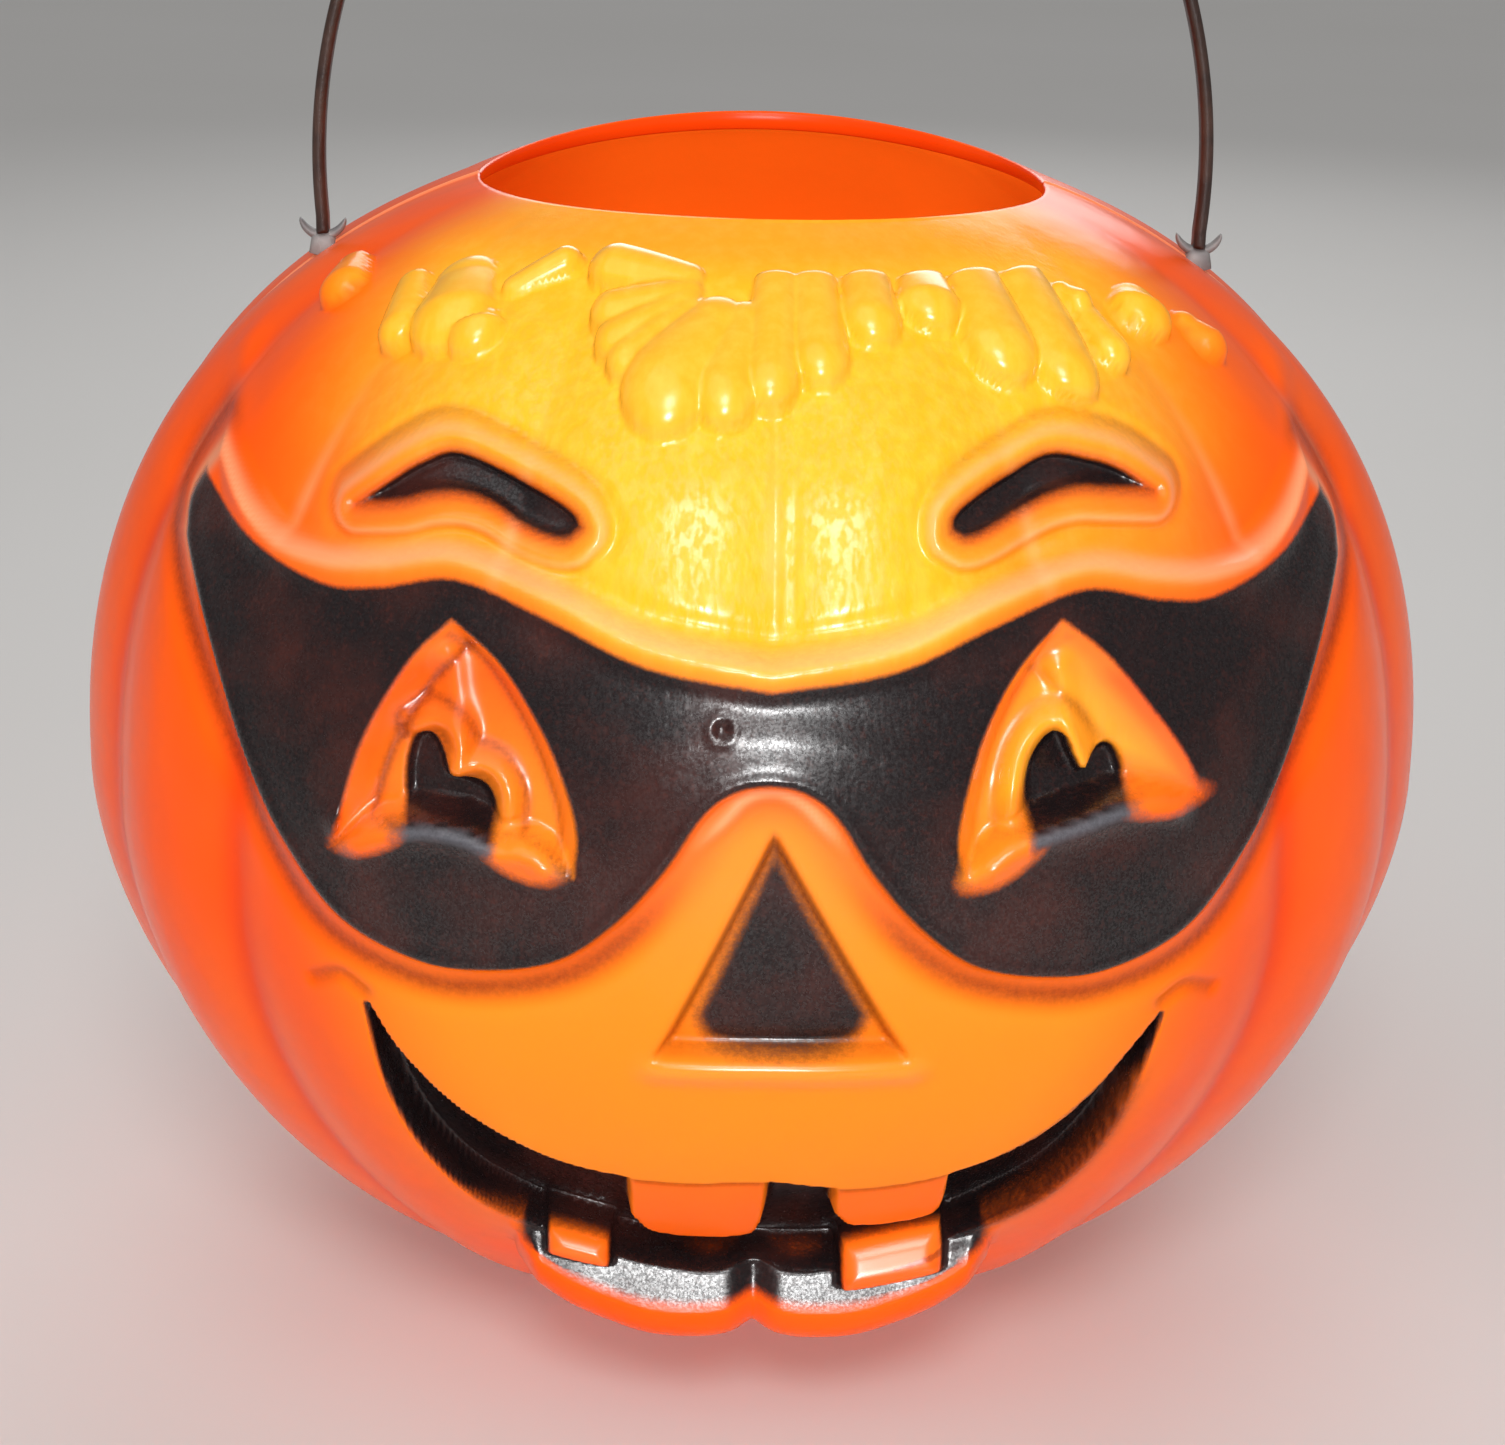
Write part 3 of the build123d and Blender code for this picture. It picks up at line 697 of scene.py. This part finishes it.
# %% Brown haze and painted shade
# Partly spray haze, mostly painted shade: darker bands below the mask's foot, in and round the nose, along
# the brows, in the dimples, at the eye wall feet, inside the left eye and along the grin
low_edge = 1 - ease(fz, 126, 136) * (1 - ease(np.abs(fx), 76, 82))
haze_and_shade = 0.85 * hump(mask_in + 2.7, 1.8) * low_edge * ease(np.abs(fx), 9, 20)
haze_and_shade += 0.85 * hump(nose_in - 1.4, 0.8) * (0.6 + 0.4 * ease(fz, 76, 78)) + 0.3 * ease(nose_in, 1, 4)
haze_and_shade += 0.4 * hump(brow_in + 4.6, 0.6) * ease(np.abs(fx), 20, 26) * ease(fz, 146, 152)
haze_and_shade += 0.5 * hump(brow_in + 0.2, 0.6) + 0.5 * dimple
haze_and_shade += 0.75 * (left_form["wall_foot_shade"] + 0.5 * right_form["wall_foot_shade"])
haze_and_shade += 0.2 * ease(eye_in, 0.5, 2.5) * (fx < 0)
grin_top_gap = line_distance(fx, fz, grin_edge)[0]
haze_and_shade += 0.8 * hump(grin_in, 1.8) * (grin_in < 0) * (fx > 20) * ease(grin_top_gap, 4, 8) * (lip_rise < 1)
haze_and_shade += 0.6 * hump(grin_in - 0.5, 0.6) * ease(upper_in, 0.4, 1.6)
print("haze covers %.0f%% of the front" % (100 * np.mean(haze_and_shade > 0.1)))

# %% Painted highlights
# painted highlights on the mask's crest, the brow borders, the forehead creases and the nose arch
painted_highlights = 0.8 * hump(mask_in - 0.6, 0.9) * ease(fz, 126, 134)
painted_highlights += 0.5 * hump(brow_in + 3.0, 0.6) * (1 - ease(mask_in, -3, 0))
painted_highlights += 0.9 * in_crease[front] ** 6 * ease(fz, 136, 146)
painted_highlights += 0.6 * np.clip(bridge_rise / BRIDGE_RISE, 0, 1) ** 3
print("pale edges cover %.0f%% of the front" % (100 * np.mean(painted_highlights > 0.1)))

# %% Yellow paint, and painted light on the front
front_turn = np.degrees(np.abs(turn_grid[front]))
forehead = ease(fz, 126, 130) * (1 - ease(np.abs(fx), 34, 80)) * (1 - ease(front_turn, 40, 70))
forehead *= 1 - 0.45 * ease(np.abs(fx), 20, 36) * (1 - ease(fz, 146, 156))
forehead *= 1 - 0.45 * ease(fz, 174, 179)
above_mask = 1 - 0.85 * ease(mask_in, 0.2, 4.0)
yellow = forehead * above_mask * (1 - 0.5 * hump(brow_in + 1.4, 2.2)) * (1 - ease(brow_in, -1.2, 0))
# painted light: the right eye's floor is painted lighter and yellower
yellow += 0.45 * ease(eye_in, 3, 7) * (fx > 0)
# painted light: lighter orange where the muzzle, eyes, forehead and top face the light; painted shade on the
# lip, over the upper teeth and under the mask's foot, and the left eye stays darker
front_light = ease(muzzle_in, -8, 22) * (1 - 0.4 * ease(-fz, -60, -30))
front_light += np.where(fx < 0, 0.15, 1.1) * ease(eye_in, 1, 5)
front_light += 0.6 * forehead + 0.55 * ease(fz, 158, 176) * (1 - ease(front_turn, 40, 74))
front_light *= 1 - 0.8 * ease(lip_rise, 0.5, 2)
front_light *= 1 - 0.6 * (1 - ease(-mask_in, 1.5, 7)) * (1 - ease(fz, 122, 128)) * (1 - ease(eye_in, -2, 0))
front_light *= 1 - 0.6 * ease(upper_in, 0.2, 1.2) * in_grin
print("yellow covers %.0f%% of the front" % (100 * np.mean(yellow > 0.3)))

# %% Gloss, and painted shade in the creases
gloss = (1 - ease(front_turn, 30, 55)) * ease(fz, 78, 112) + ease(lower_in, 0, 1)
gloss += hump(fz - 73, 2.0) * (1 - ease(np.abs(fx - 2.5), 18, 22))
gloss *= 1 - ease(fz, 168, 175) * (1 - ease(leaf_rise[front], 0.1, 0.6))
# painted shade: creases darker red, less where the face flattens them and on the upper front
crease_shade = in_crease.copy()
crease_shade[front] *= (1 - 0.8 * flatten) * (1 - ease(fz, 128, 140) * (1 - ease(front_turn, 50, 75)))
print("reddest crease %.2f" % crease_shade.max())


# %% Store the coats on the shell
def store(name, values):
    pail.data.attributes.new(name, "FLOAT", "POINT").data.foreach_set("value", values)


def keep_on_shell(name, values, elsewhere=0.0, rim=None):
    """Stores one value per point of the shell; points off the outer grid get the value elsewhere."""
    whole = np.full(len(points), elsewhere, np.float32)
    whole[first_outer:first_outer + outer_count] = values.ravel()
    if rim is not None:
        whole[first_outer + outer_count:first_inner] = rim
    store(name, whole)


def on_grid(front_values, elsewhere=0.0):
    grid = np.full(places.shape[:2], elsewhere)
    grid[front] = front_values
    return grid


leaf_yellow = ease(leaf_rise, 0.1, 1.2) * (1 - ease(np.abs(x), 48, 74))
keep_on_shell("black_paint", on_grid(black, FAR), FAR)
keep_on_shell("fuzz", on_grid(fuzz, 0.5), 0.5)
keep_on_shell("yellow_paint", np.clip(np.maximum(on_grid(yellow), leaf_yellow), 0, 1))
# painted highlights, with one more along the parting seam
keep_on_shell("edge_highlight", np.clip(on_grid(painted_highlights) + 0.7 * hump(places[..., 1], 0.9), 0, 1))
keep_on_shell("painted_front_light", on_grid(np.clip(front_light, 0, 1)))
keep_on_shell("haze_and_shade", on_grid(np.clip(haze_and_shade, 0, 1)))
keep_on_shell("leaf", ease(leaf_rise, 0.05, 0.8))
# painted shade: the cut rim is fully darker red
keep_on_shell("crease_shade", np.clip(crease_shade, 0, 1), rim=1.0)
keep_on_shell("outside", np.ones(places.shape[:2]), rim=1.0)
keep_on_shell("gloss", on_grid(np.clip(gloss, 0, 1)))
# painted reflection on the lids
keep_on_shell("lid_sheen", on_grid(np.clip(left_form["lid_sheen"] + right_form["lid_sheen"], 0, 1)))
print("stored", sorted(a.name for a in pail.data.attributes if a.data_type == "FLOAT"))

# %% Painted glow in place of light through the wall
# painted light: the inside glows more higher up, with painted shade darker towards the left and the far
# right
painted_glow = np.zeros(len(points), np.float32)
from_left = points[first_inner:, 0]
painted_glow[first_inner:] = 0.12 + 0.88 * ease(points[first_inner:, 2], 80, 168)
painted_glow[first_inner:] *= 0.45 + 0.55 * ease(from_left, -48, -18) * (1 - 0.5 * ease(from_left, 30, 52))
store("painted_glow", painted_glow)
print("inside glows between %.2f and %.2f" % (painted_glow[first_inner:].min(), painted_glow.max()))

# %% [markdown]
# ## Strap and its stops
# The handle is a thin dark strap of springy plastic. It stands in a grey crescent at each side, whose barb
# is pushed through a slot in the shoulder. The strap bends just above the crescent when the handle swings,
# so its ends are shared between the two bodies.

# %% Line of the strap
STRAP_THICK, STRAP_WIDE, STRAP_ROUND = 2.4, 4.0, 0.9
STRAP_SEEN, STUB = 2.0, 2.75
span = 0.645 * WIDTH
rise = 0.578 * span
side_radius = 0.67 * span
leg_drop = 2 * STRAP_WIDE
hinge = frame["joints"][0]["pos_m"][2] / MM
hinge_half = span / 2 - (side_radius - math.sqrt(side_radius ** 2 - leg_drop ** 2))
widest = hinge + leg_drop
side_inset = side_radius - span / 2
short = side_radius - rise
crown_lift = (side_inset ** 2 - short ** 2) / (2 * short)
crown_radius = side_radius - math.hypot(side_inset, crown_lift)
side_turn = math.atan2(crown_lift, side_inset)
leg_turn = math.asin(leg_drop / side_radius)


def strap_line():
    """Middle line of the strap from the left crescent over the crown to the right one, with its turns."""
    legs = np.linspace(-leg_turn, side_turn, 60)
    crown = np.linspace(side_turn, np.pi / 2, 50)[1:]
    right = [(-side_inset + side_radius * math.cos(a), widest + side_radius * math.sin(a), a) for a in legs]
    crown_level = widest + crown_lift
    right += [(crown_radius * math.cos(a), crown_level + crown_radius * math.sin(a), a) for a in crown]
    stub = [(hinge_half, hinge - d, -leg_turn) for d in (STUB, 2.2, 1.6, 1.1, 0.55)]
    right = stub + right
    left = [(-px, pz, np.pi - a) for px, pz, a in right[:-1]]
    return left + right[::-1]


def strap_section():
    """Rounded rectangle, as (across the thickness, across the width)."""
    corner = []
    for cx, cy, start in ((1, 1, 0), (-1, 1, 90), (-1, -1, 180), (1, -1, 270)):
        for a in np.radians(start + np.array([0, 30, 60, 90])):
            corner.append((cx * (STRAP_SEEN / 2 - STRAP_ROUND) + STRAP_ROUND * math.cos(a),
                           cy * (STRAP_WIDE / 2 - STRAP_ROUND) + STRAP_ROUND * math.sin(a)))
    return corner


section = strap_section()
strap_points = []
for px, pz, a in strap_line():
    strap_points += [(px + t * math.cos(a), w, pz + t * math.sin(a)) for t, w in section]
line_length = len(strap_points) // len(section)
ends = [(-hinge_half, 0, hinge - STUB), (hinge_half, 0, hinge - STUB)]
strap = mesh_piece("carry_strap", np.array(strap_points + ends), ring_faces(line_length, len(section)))
print("carry_strap:", line_length, "sections, crown at %.1f mm" % (widest + crown_lift + crown_radius))

# %% Crescent stops
CRADLE = STRAP_WIDE / 2 + 0.6
CRESCENT_THICK, TIP_HALF, TIP_DROP = STRAP_THICK * 2 / 3, 1.5 * STRAP_THICK, STRAP_THICK / 4
HINGE_LIFT = 5.4
slot_level = hinge - HINGE_LIFT
barb_top = slot_level - 2.4 * WALL
barb_tall = 1.75 * STRAP_WIDE


def round_trip(count):
    """Angles of count points round a ring."""
    return np.linspace(0, 2 * np.pi, count, False)


def crescent_rings(side):
    """Rings of an upturned moon that tapers to its two tips."""
    low = CRADLE + CRESCENT_THICK / 2
    bow = (TIP_HALF ** 2 + (low - TIP_DROP) ** 2) / (2 * (low - TIP_DROP))
    reach = math.asin(min(TIP_HALF / bow, 1.0))
    rings = []
    for a in np.linspace(-reach, reach, 25):
        taper = math.sqrt(max(1 - (a / reach) ** 2, 0.02))
        thick, deep = CRESCENT_THICK / 2 * taper, STRAP_THICK / 2 * (0.45 + 0.55 * taper)
        cx, cz = bow * math.sin(a), -low + bow * (1 - math.cos(a))
        rings.append([(side * (hinge_half + cx + thick * math.cos(u) * math.sin(a)), deep * math.sin(u),
                       hinge + cz - thick * math.cos(u) * math.cos(a)) for u in round_trip(14)])
    return rings


def barb_rings(side):
    """Neck through the slot and the flat arrow that holds it inside."""
    neck = hinge - CRADLE - CRESCENT_THICK / 2
    tip = barb_top - barb_tall
    shape = [(neck + 0.5, 1.2, 1.2), (neck - 0.3, 1.9, 1.7), (slot_level - 0.6, 2.3, 2.1),
             (slot_level - 0.9, 1.1, 1.9), (barb_top, 1.1, 3.9), (barb_top - 0.6, 1.15, 3.9),
             (tip + 0.6, 0.8, 0.6), (tip, 0.4, 0.3)]
    rings = []
    for level, thick, wide in shape:
        rings.append([(side * hinge_half + thick * np.sign(math.cos(u)) * abs(math.cos(u)) ** 0.5,
                       wide * np.sign(math.sin(u)) * abs(math.sin(u)) ** 0.5, level)
                      for u in round_trip(16)])
    return rings


def closed_rings(rings, flip):
    """Points and faces of stacked rings with both ends closed."""
    stacked = np.array(rings)
    caps = np.array([stacked[0].mean(axis=0), stacked[-1].mean(axis=0)])
    return np.vstack([stacked.reshape(-1, 3), caps]), ring_faces(len(rings), len(rings[0]), flip)


def anchor_piece(name, side):
    moon, moon_faces = closed_rings(crescent_rings(side), side < 0)
    barb, barb_faces = closed_rings(barb_rings(side), True)
    faces = moon_faces + [[k + len(moon) for k in face] for face in barb_faces]
    return mesh_piece(name, np.vstack([moon, barb]), faces)


anchors = {"left_stop": anchor_piece("left_stop", -1), "right_stop": anchor_piece("right_stop", 1)}
print("stops:", sorted(anchors))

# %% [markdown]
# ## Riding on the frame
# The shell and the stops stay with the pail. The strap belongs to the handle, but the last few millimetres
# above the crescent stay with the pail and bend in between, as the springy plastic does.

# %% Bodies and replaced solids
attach(pail, "pail")
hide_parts("pail_shell")
for name, node in (("left_stop", "left_anchor"), ("right_stop", "right_anchor")):
    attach(anchors[name], "pail")
    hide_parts(node)
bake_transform(strap, "pail", "handle", start=(0, 0, (hinge - 2.4) * MM), end=(0, 0, (hinge + 1.4) * MM))
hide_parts("handle_strap")

# %% [markdown]
# ## Writing shaders as sums
# Node trees get hard to read as lists of links. One small class wraps a socket, so that plain arithmetic
# adds the Math nodes, and one method adds any other node.


# %% Sockets with arithmetic
class Wire:
    """A socket of a node tree that can be added, multiplied and compared like a number."""

    def __init__(self, tree, socket):
        self.tree = tree
        self.socket = socket

    def node(self, kind, settings=None, out=0, **sockets):
        """Adds a node: its settings first, then the values or links of its named or numbered sockets."""
        made = self.tree.nodes.new(kind)
        for key, value in (settings or {}).items():
            setattr(made, key, value)
        for key, value in sockets.items():
            name = int(key[1:]) if key[0] == "i" and key[1:].isdigit() else key.replace("_", " ")
            self.join(made.inputs[name], value)
        return Wire(self.tree, made.outputs[out])

    def join(self, target, value):
        if isinstance(value, Wire):
            self.tree.links.new(value.socket, target)
        else:
            target.default_value = value

    def maths(self, operation, a, b):
        return self.node("ShaderNodeMath", {"operation": operation}, i0=a, i1=b)

    def __add__(self, other):
        return self.maths("ADD", self, other)

    def __sub__(self, other):
        return self.maths("SUBTRACT", self, other)

    def __rsub__(self, other):
        return self.maths("SUBTRACT", other, self)

    def __mul__(self, other):
        return self.maths("MULTIPLY", self, other)

    def __truediv__(self, other):
        return self.maths("DIVIDE", self, other)

    __radd__, __rmul__ = __add__, __mul__

    def clipped(self):
        return self.node("ShaderNodeClamp", None, i0=self)

    def between(self, start, end):
        """0 at start, 1 at end, eased in between."""
        settings = {"interpolation_type": "SMOOTHSTEP"}
        return self.node("ShaderNodeMapRange", settings, i0=self, i1=start, i2=end)

    def mixed(self, first, second):
        """A colour between first and second by this factor."""
        return self.node("ShaderNodeMix", {"data_type": "RGBA"}, out=2, i0=self, i6=first, i7=second)


def paint(r, g, b):
    """A colour as seen on screen, 0 to 255, as Blender's linear colour."""
    shares = (r / 255, g / 255, b / 255)
    linear = [v / 12.92 if v <= 0.04045 else ((v + 0.055) / 1.055) ** 2.4 for v in shares]
    return (*linear, 1.0)


def new_material(name):
    """A material with its Principled shader, and a Wire to start expressions from."""
    material = bpy.data.materials.new(name)
    material.use_nodes = True
    tree = material.node_tree
    shader = tree.nodes["Principled BSDF"]
    place = tree.nodes.new("ShaderNodeTexCoord")
    return material, shader, Wire(tree, place.outputs["Object"])


print("shader helpers ready")


# %% [markdown]
# ## Orange shell with its paint
# Polyethylene is a little waxy, with a soft satin gloss. Creases and the cut rim are painted redder as
# shade, and a painted glow, strong inside and faint outside, stands in for light through the wall. The paint
# sits on top as a fine speckle that thins out at the stencil's edge. Each coat is mixed over the last one,
# the way it was sprayed.

# %% Shell material
ORANGE, DEEP_ORANGE, SHADE_RED_ORANGE = paint(255, 98, 14), paint(252, 84, 8), paint(226, 44, 4)
LIT_ORANGE, YELLOW, PALE_YELLOW = paint(254, 142, 32), paint(253, 184, 34), paint(253, 202, 76)
HIGHLIGHT_PINK, PAINTED_INSIDE_GLOW = paint(255, 200, 150), paint(164, 84, 14)
BLACK, BROWN_BLACK, HAZE_AND_SHADE_BROWN = paint(26, 19, 20), paint(70, 32, 26), paint(104, 26, 10)
SHEEN_GREY = paint(104, 104, 110)


def noise(place, scale, detail=2.0, rough=0.5, stretch=None):
    """Noise from 0 to 1 at scale cycles per metre; stretch squeezes the place first."""
    if stretch:
        place = place.node("ShaderNodeVectorMath", {"operation": "MULTIPLY"}, i0=place, i1=stretch)
    return place.node("ShaderNodeTexNoise", None, Vector=place, Scale=scale, Detail=detail, Roughness=rough)


def stored(place, name):
    return place.node("ShaderNodeAttribute", {"attribute_name": name}, out=2)


def shell_material():
    material, shader, place = new_material("painted_orange_plastic")
    mottle = noise(place, 28, 3)
    grain = noise(place, 2600, 2, 0.7)
    speckle = noise(place, 1100, 3, 0.75)
    streaks = noise(place, 420, 3, 0.6, (1, 1, 0.12))
    outside = stored(place, "outside")
    base = (mottle.between(0.3, 0.7) * 0.7).mixed(DEEP_ORANGE, ORANGE)
    # painted shade: darker red in the creases and on the rim
    base = (stored(place, "crease_shade") * 0.55).mixed(base, SHADE_RED_ORANGE)
    # painted light: lighter orange where the front faces the light
    base = (stored(place, "painted_front_light") * 0.9).clipped().mixed(base, LIT_ORANGE)
    gold = (stored(place, "yellow_paint") * (0.8 + 0.2 * streaks)).clipped()
    tint = (streaks.between(0.35, 0.75) * 0.4).mixed(YELLOW, PALE_YELLOW)
    base = gold.mixed(base, tint)
    # painted highlights mixed over the base
    base = (stored(place, "edge_highlight") * 0.6).mixed(base, HIGHLIGHT_PINK)
    # brown spray haze and painted shade, mixed over the base
    haze_and_shade_mix = (stored(place, "haze_and_shade") * (0.35 + 0.75 * speckle)).clipped()
    base = haze_and_shade_mix.mixed(base, HAZE_AND_SHADE_BROWN)
    edge = stored(place, "black_paint") / stored(place, "fuzz")
    edge = edge + (speckle - 0.5) * 0.9 + (grain - 0.5) * 0.5
    coat = edge.between(-1.0, 1.0)
    thin = noise(place, 60, 3).between(0.42, 0.75) * 0.6 + speckle.between(0.5, 0.72) * 0.4
    ink = thin.mixed(BLACK, BROWN_BLACK)
    colour = coat.mixed(base, ink)
    # painted reflection: grey sheen on the black lids
    colour = (stored(place, "lid_sheen") * coat * (0.4 + 0.6 * speckle)).mixed(colour, SHEEN_GREY)
    place.join(shader.inputs["Base Color"], colour)
    place.join(shader.inputs["Roughness"], 0.22 + 0.06 * mottle + coat * (0.1 * speckle - 0.02))
    ripples = noise(place, 900, 2, 0.5, (1, 1, 0.25))
    pebbly = (stored(place, "yellow_paint") * (1 - stored(place, "leaf"))).clipped()
    sparkle = coat * (0.3 + 0.7 * grain.between(0.42, 0.6))
    broken = 1 - pebbly * (1 - ripples.between(0.4, 0.6))
    wet = stored(place, "gloss") * (1 - coat) * broken * 0.85 + sparkle
    place.join(shader.inputs["Coat Weight"], wet.clipped())
    shader.inputs["Coat Roughness"].default_value = 0.23
    # painted glow: faint over the outside, stronger inside
    painted_outer_glow = (outside * 0.1).mixed((0, 0, 0, 1), colour)
    place.join(shader.inputs["Emission Color"], stored(place, "painted_glow").mixed(painted_outer_glow, PAINTED_INSIDE_GLOW))
    shader.inputs["Emission Strength"].default_value = 0.8
    shader.inputs["Specular IOR Level"].default_value = 0.13
    pebbles = place.node("ShaderNodeTexVoronoi", {"feature": "SMOOTH_F1"},
                         Vector=place, Scale=900, Smoothness=0.8)
    waves = noise(place, 90, 2)
    rough = pebbly * 0.7 * ripples + coat * (0.55 * ripples + 0.45 * pebbles)
    relief = waves * 0.7 + rough * 0.34 + grain * 0.02
    bump = place.node("ShaderNodeBump", None, Strength=0.55, Distance=0.0007, Height=relief)
    place.join(shader.inputs["Normal"], bump)
    shader.inputs["IOR"].default_value = 1.5
    return material


pail.data.materials.append(shell_material())
print("shell painted")

# %% [markdown]
# ## Strap and stop plastics
# The strap is dark brown and slightly scuffed in streaks; the stops are a plain grey, matt and a little
# dusty. Both get their variation from noise at a true scale, never from a picture.


# %% Strap and stop materials
def plastic(name, dark, light, rough, scuff_scale):
    material, shader, place = new_material(name)
    cloud = noise(place, 180, 3)
    scuff = noise(place, scuff_scale, 4, 0.7, (1, 1, 0.3)).between(0.52, 0.75)
    shade = (cloud.between(0.3, 0.7) * 0.6 + scuff * 0.4).mixed(dark, light)
    place.join(shader.inputs["Base Color"], shade)
    place.join(shader.inputs["Roughness"], rough + 0.14 * scuff + 0.06 * cloud)
    relief = noise(place, 1500, 2) * 0.5 + scuff * 0.5
    bump = place.node("ShaderNodeBump", None, Strength=0.35, Distance=0.0003, Height=relief)
    place.join(shader.inputs["Normal"], bump)
    return material


strap.data.materials.append(plastic("dark_brown_strap", paint(42, 28, 24), paint(78, 54, 44), 0.38, 700))
grey = plastic("grey_stop", paint(112, 108, 108), paint(168, 162, 158), 0.5, 900)
for stop in anchors.values():
    stop.data.materials.append(grey)
print("materials:", [m.name for m in bpy.data.materials])

# %% [markdown]
# ## Floor, light and camera
# A plain pale floor, two soft lamps near the camera that give the gloss its shape, one behind for the back,
# a wide light above and an even grey surround. A grid in front of each lamp keeps its light off the floor
# below it. The camera stands where the photographer stood.

# %% Floor
FLOOR_HALF = 6.0
floor_mesh = bpy.data.meshes.new("floor")
corners = [(FLOOR_HALF * a, FLOOR_HALF * b, 0) for a, b in ((-1, -1), (1, -1), (1, 1), (-1, 1))]
floor_mesh.from_pydata(corners, [], [(0, 1, 2, 3)])
floor_piece = bpy.data.objects.new("floor", floor_mesh)
bpy.context.scene.collection.objects.link(floor_piece)
floor_material, floor_shader, floor_place = new_material("pale_floor")
floor_place.join(floor_shader.inputs["Base Color"],
                 noise(floor_place, 3, 2).mixed(paint(214, 212, 209), paint(220, 218, 216)))
floor_shader.inputs["Roughness"].default_value = 0.8
floor_mesh.materials.append(floor_material)
print("floor laid")


# %% Lamps and surround
def lamp(name, place, aim, size, power):
    light = bpy.data.lights.new(name, "AREA")
    light.shape = "DISK"
    light.size = size
    light.energy = power
    light.spread = math.radians(GRID_SPREAD)
    holder = bpy.data.objects.new(name, light)
    holder.location = place
    holder.rotation_euler = (Vector(aim) - Vector(place)).to_track_quat("-Z", "Y").to_euler()
    bpy.context.scene.collection.objects.link(holder)


AIM, GRID_SPREAD = (0, 0, 0.09), 90.0
lamp("lamp_by_camera", (0.03, -1.25, 0.5), AIM, 0.2, 2.1)
lamp("lamp_over_camera", (0.0, -1.0, 0.92), AIM, 0.4, 1.22)
lamp("lamp_behind", (0.15, 1.35, 0.75), AIM, 1.0, 1.85)
SKY_POWER, SKY_WIDE, SURROUND = 0.7, 60.0, 0.24
sky = bpy.data.lights.new("wide_light_above", "SUN")
sky.energy = SKY_POWER
sky.angle = math.radians(SKY_WIDE)
sky_holder = bpy.data.objects.new("wide_light_above", sky)
sky_holder.rotation_euler = (math.radians(28), math.radians(-14), 0)
bpy.context.scene.collection.objects.link(sky_holder)
world = bpy.data.worlds.new("studio")
bpy.context.scene.world = world
world.use_nodes = True
world.node_tree.nodes["Background"].inputs["Color"].default_value = (0.9, 0.9, 0.9, 1)
world.node_tree.nodes["Background"].inputs["Strength"].default_value = SURROUND
bpy.context.scene.view_settings.view_transform = "Standard"

# %% Camera
IMAGE_WIDE, FOCAL_PIXELS, SENSOR = 1505, 3000.0, 36.0
CAMERA_FAR, CAMERA_UP, CAMERA_ROUND, CAMERA_ROLL = 0.511, 19.0, -1.5, 1.3
target = Vector((0.0002, 0, 0.088))
up_angle, round_angle, roll = (math.radians(v) for v in (CAMERA_UP, CAMERA_ROUND, CAMERA_ROLL))
back = Vector((math.sin(round_angle) * math.cos(up_angle), -math.cos(round_angle) * math.cos(up_angle),
               math.sin(up_angle)))
right = (-back).cross(Vector((0, 0, 1))).normalized()
up = right.cross(-back)
right, up = math.cos(roll) * right + math.sin(roll) * up, math.cos(roll) * up - math.sin(roll) * right
camera_data = bpy.data.cameras.new("camera")
camera_data.sensor_fit = "HORIZONTAL"
camera_data.sensor_width = SENSOR
camera_data.lens = FOCAL_PIXELS / IMAGE_WIDE * SENSOR
camera_data.clip_start = 0.01
camera = bpy.data.objects.new("camera", camera_data)
stand = Matrix.Translation(target + CAMERA_FAR * back)
camera.matrix_world = stand @ Matrix((right, up, back)).transposed().to_4x4()
bpy.context.scene.collection.objects.link(camera)
bpy.context.scene.camera = camera
print("camera at", [round(v, 3) for v in stand.translation], "lens %.1f mm" % camera_data.lens)
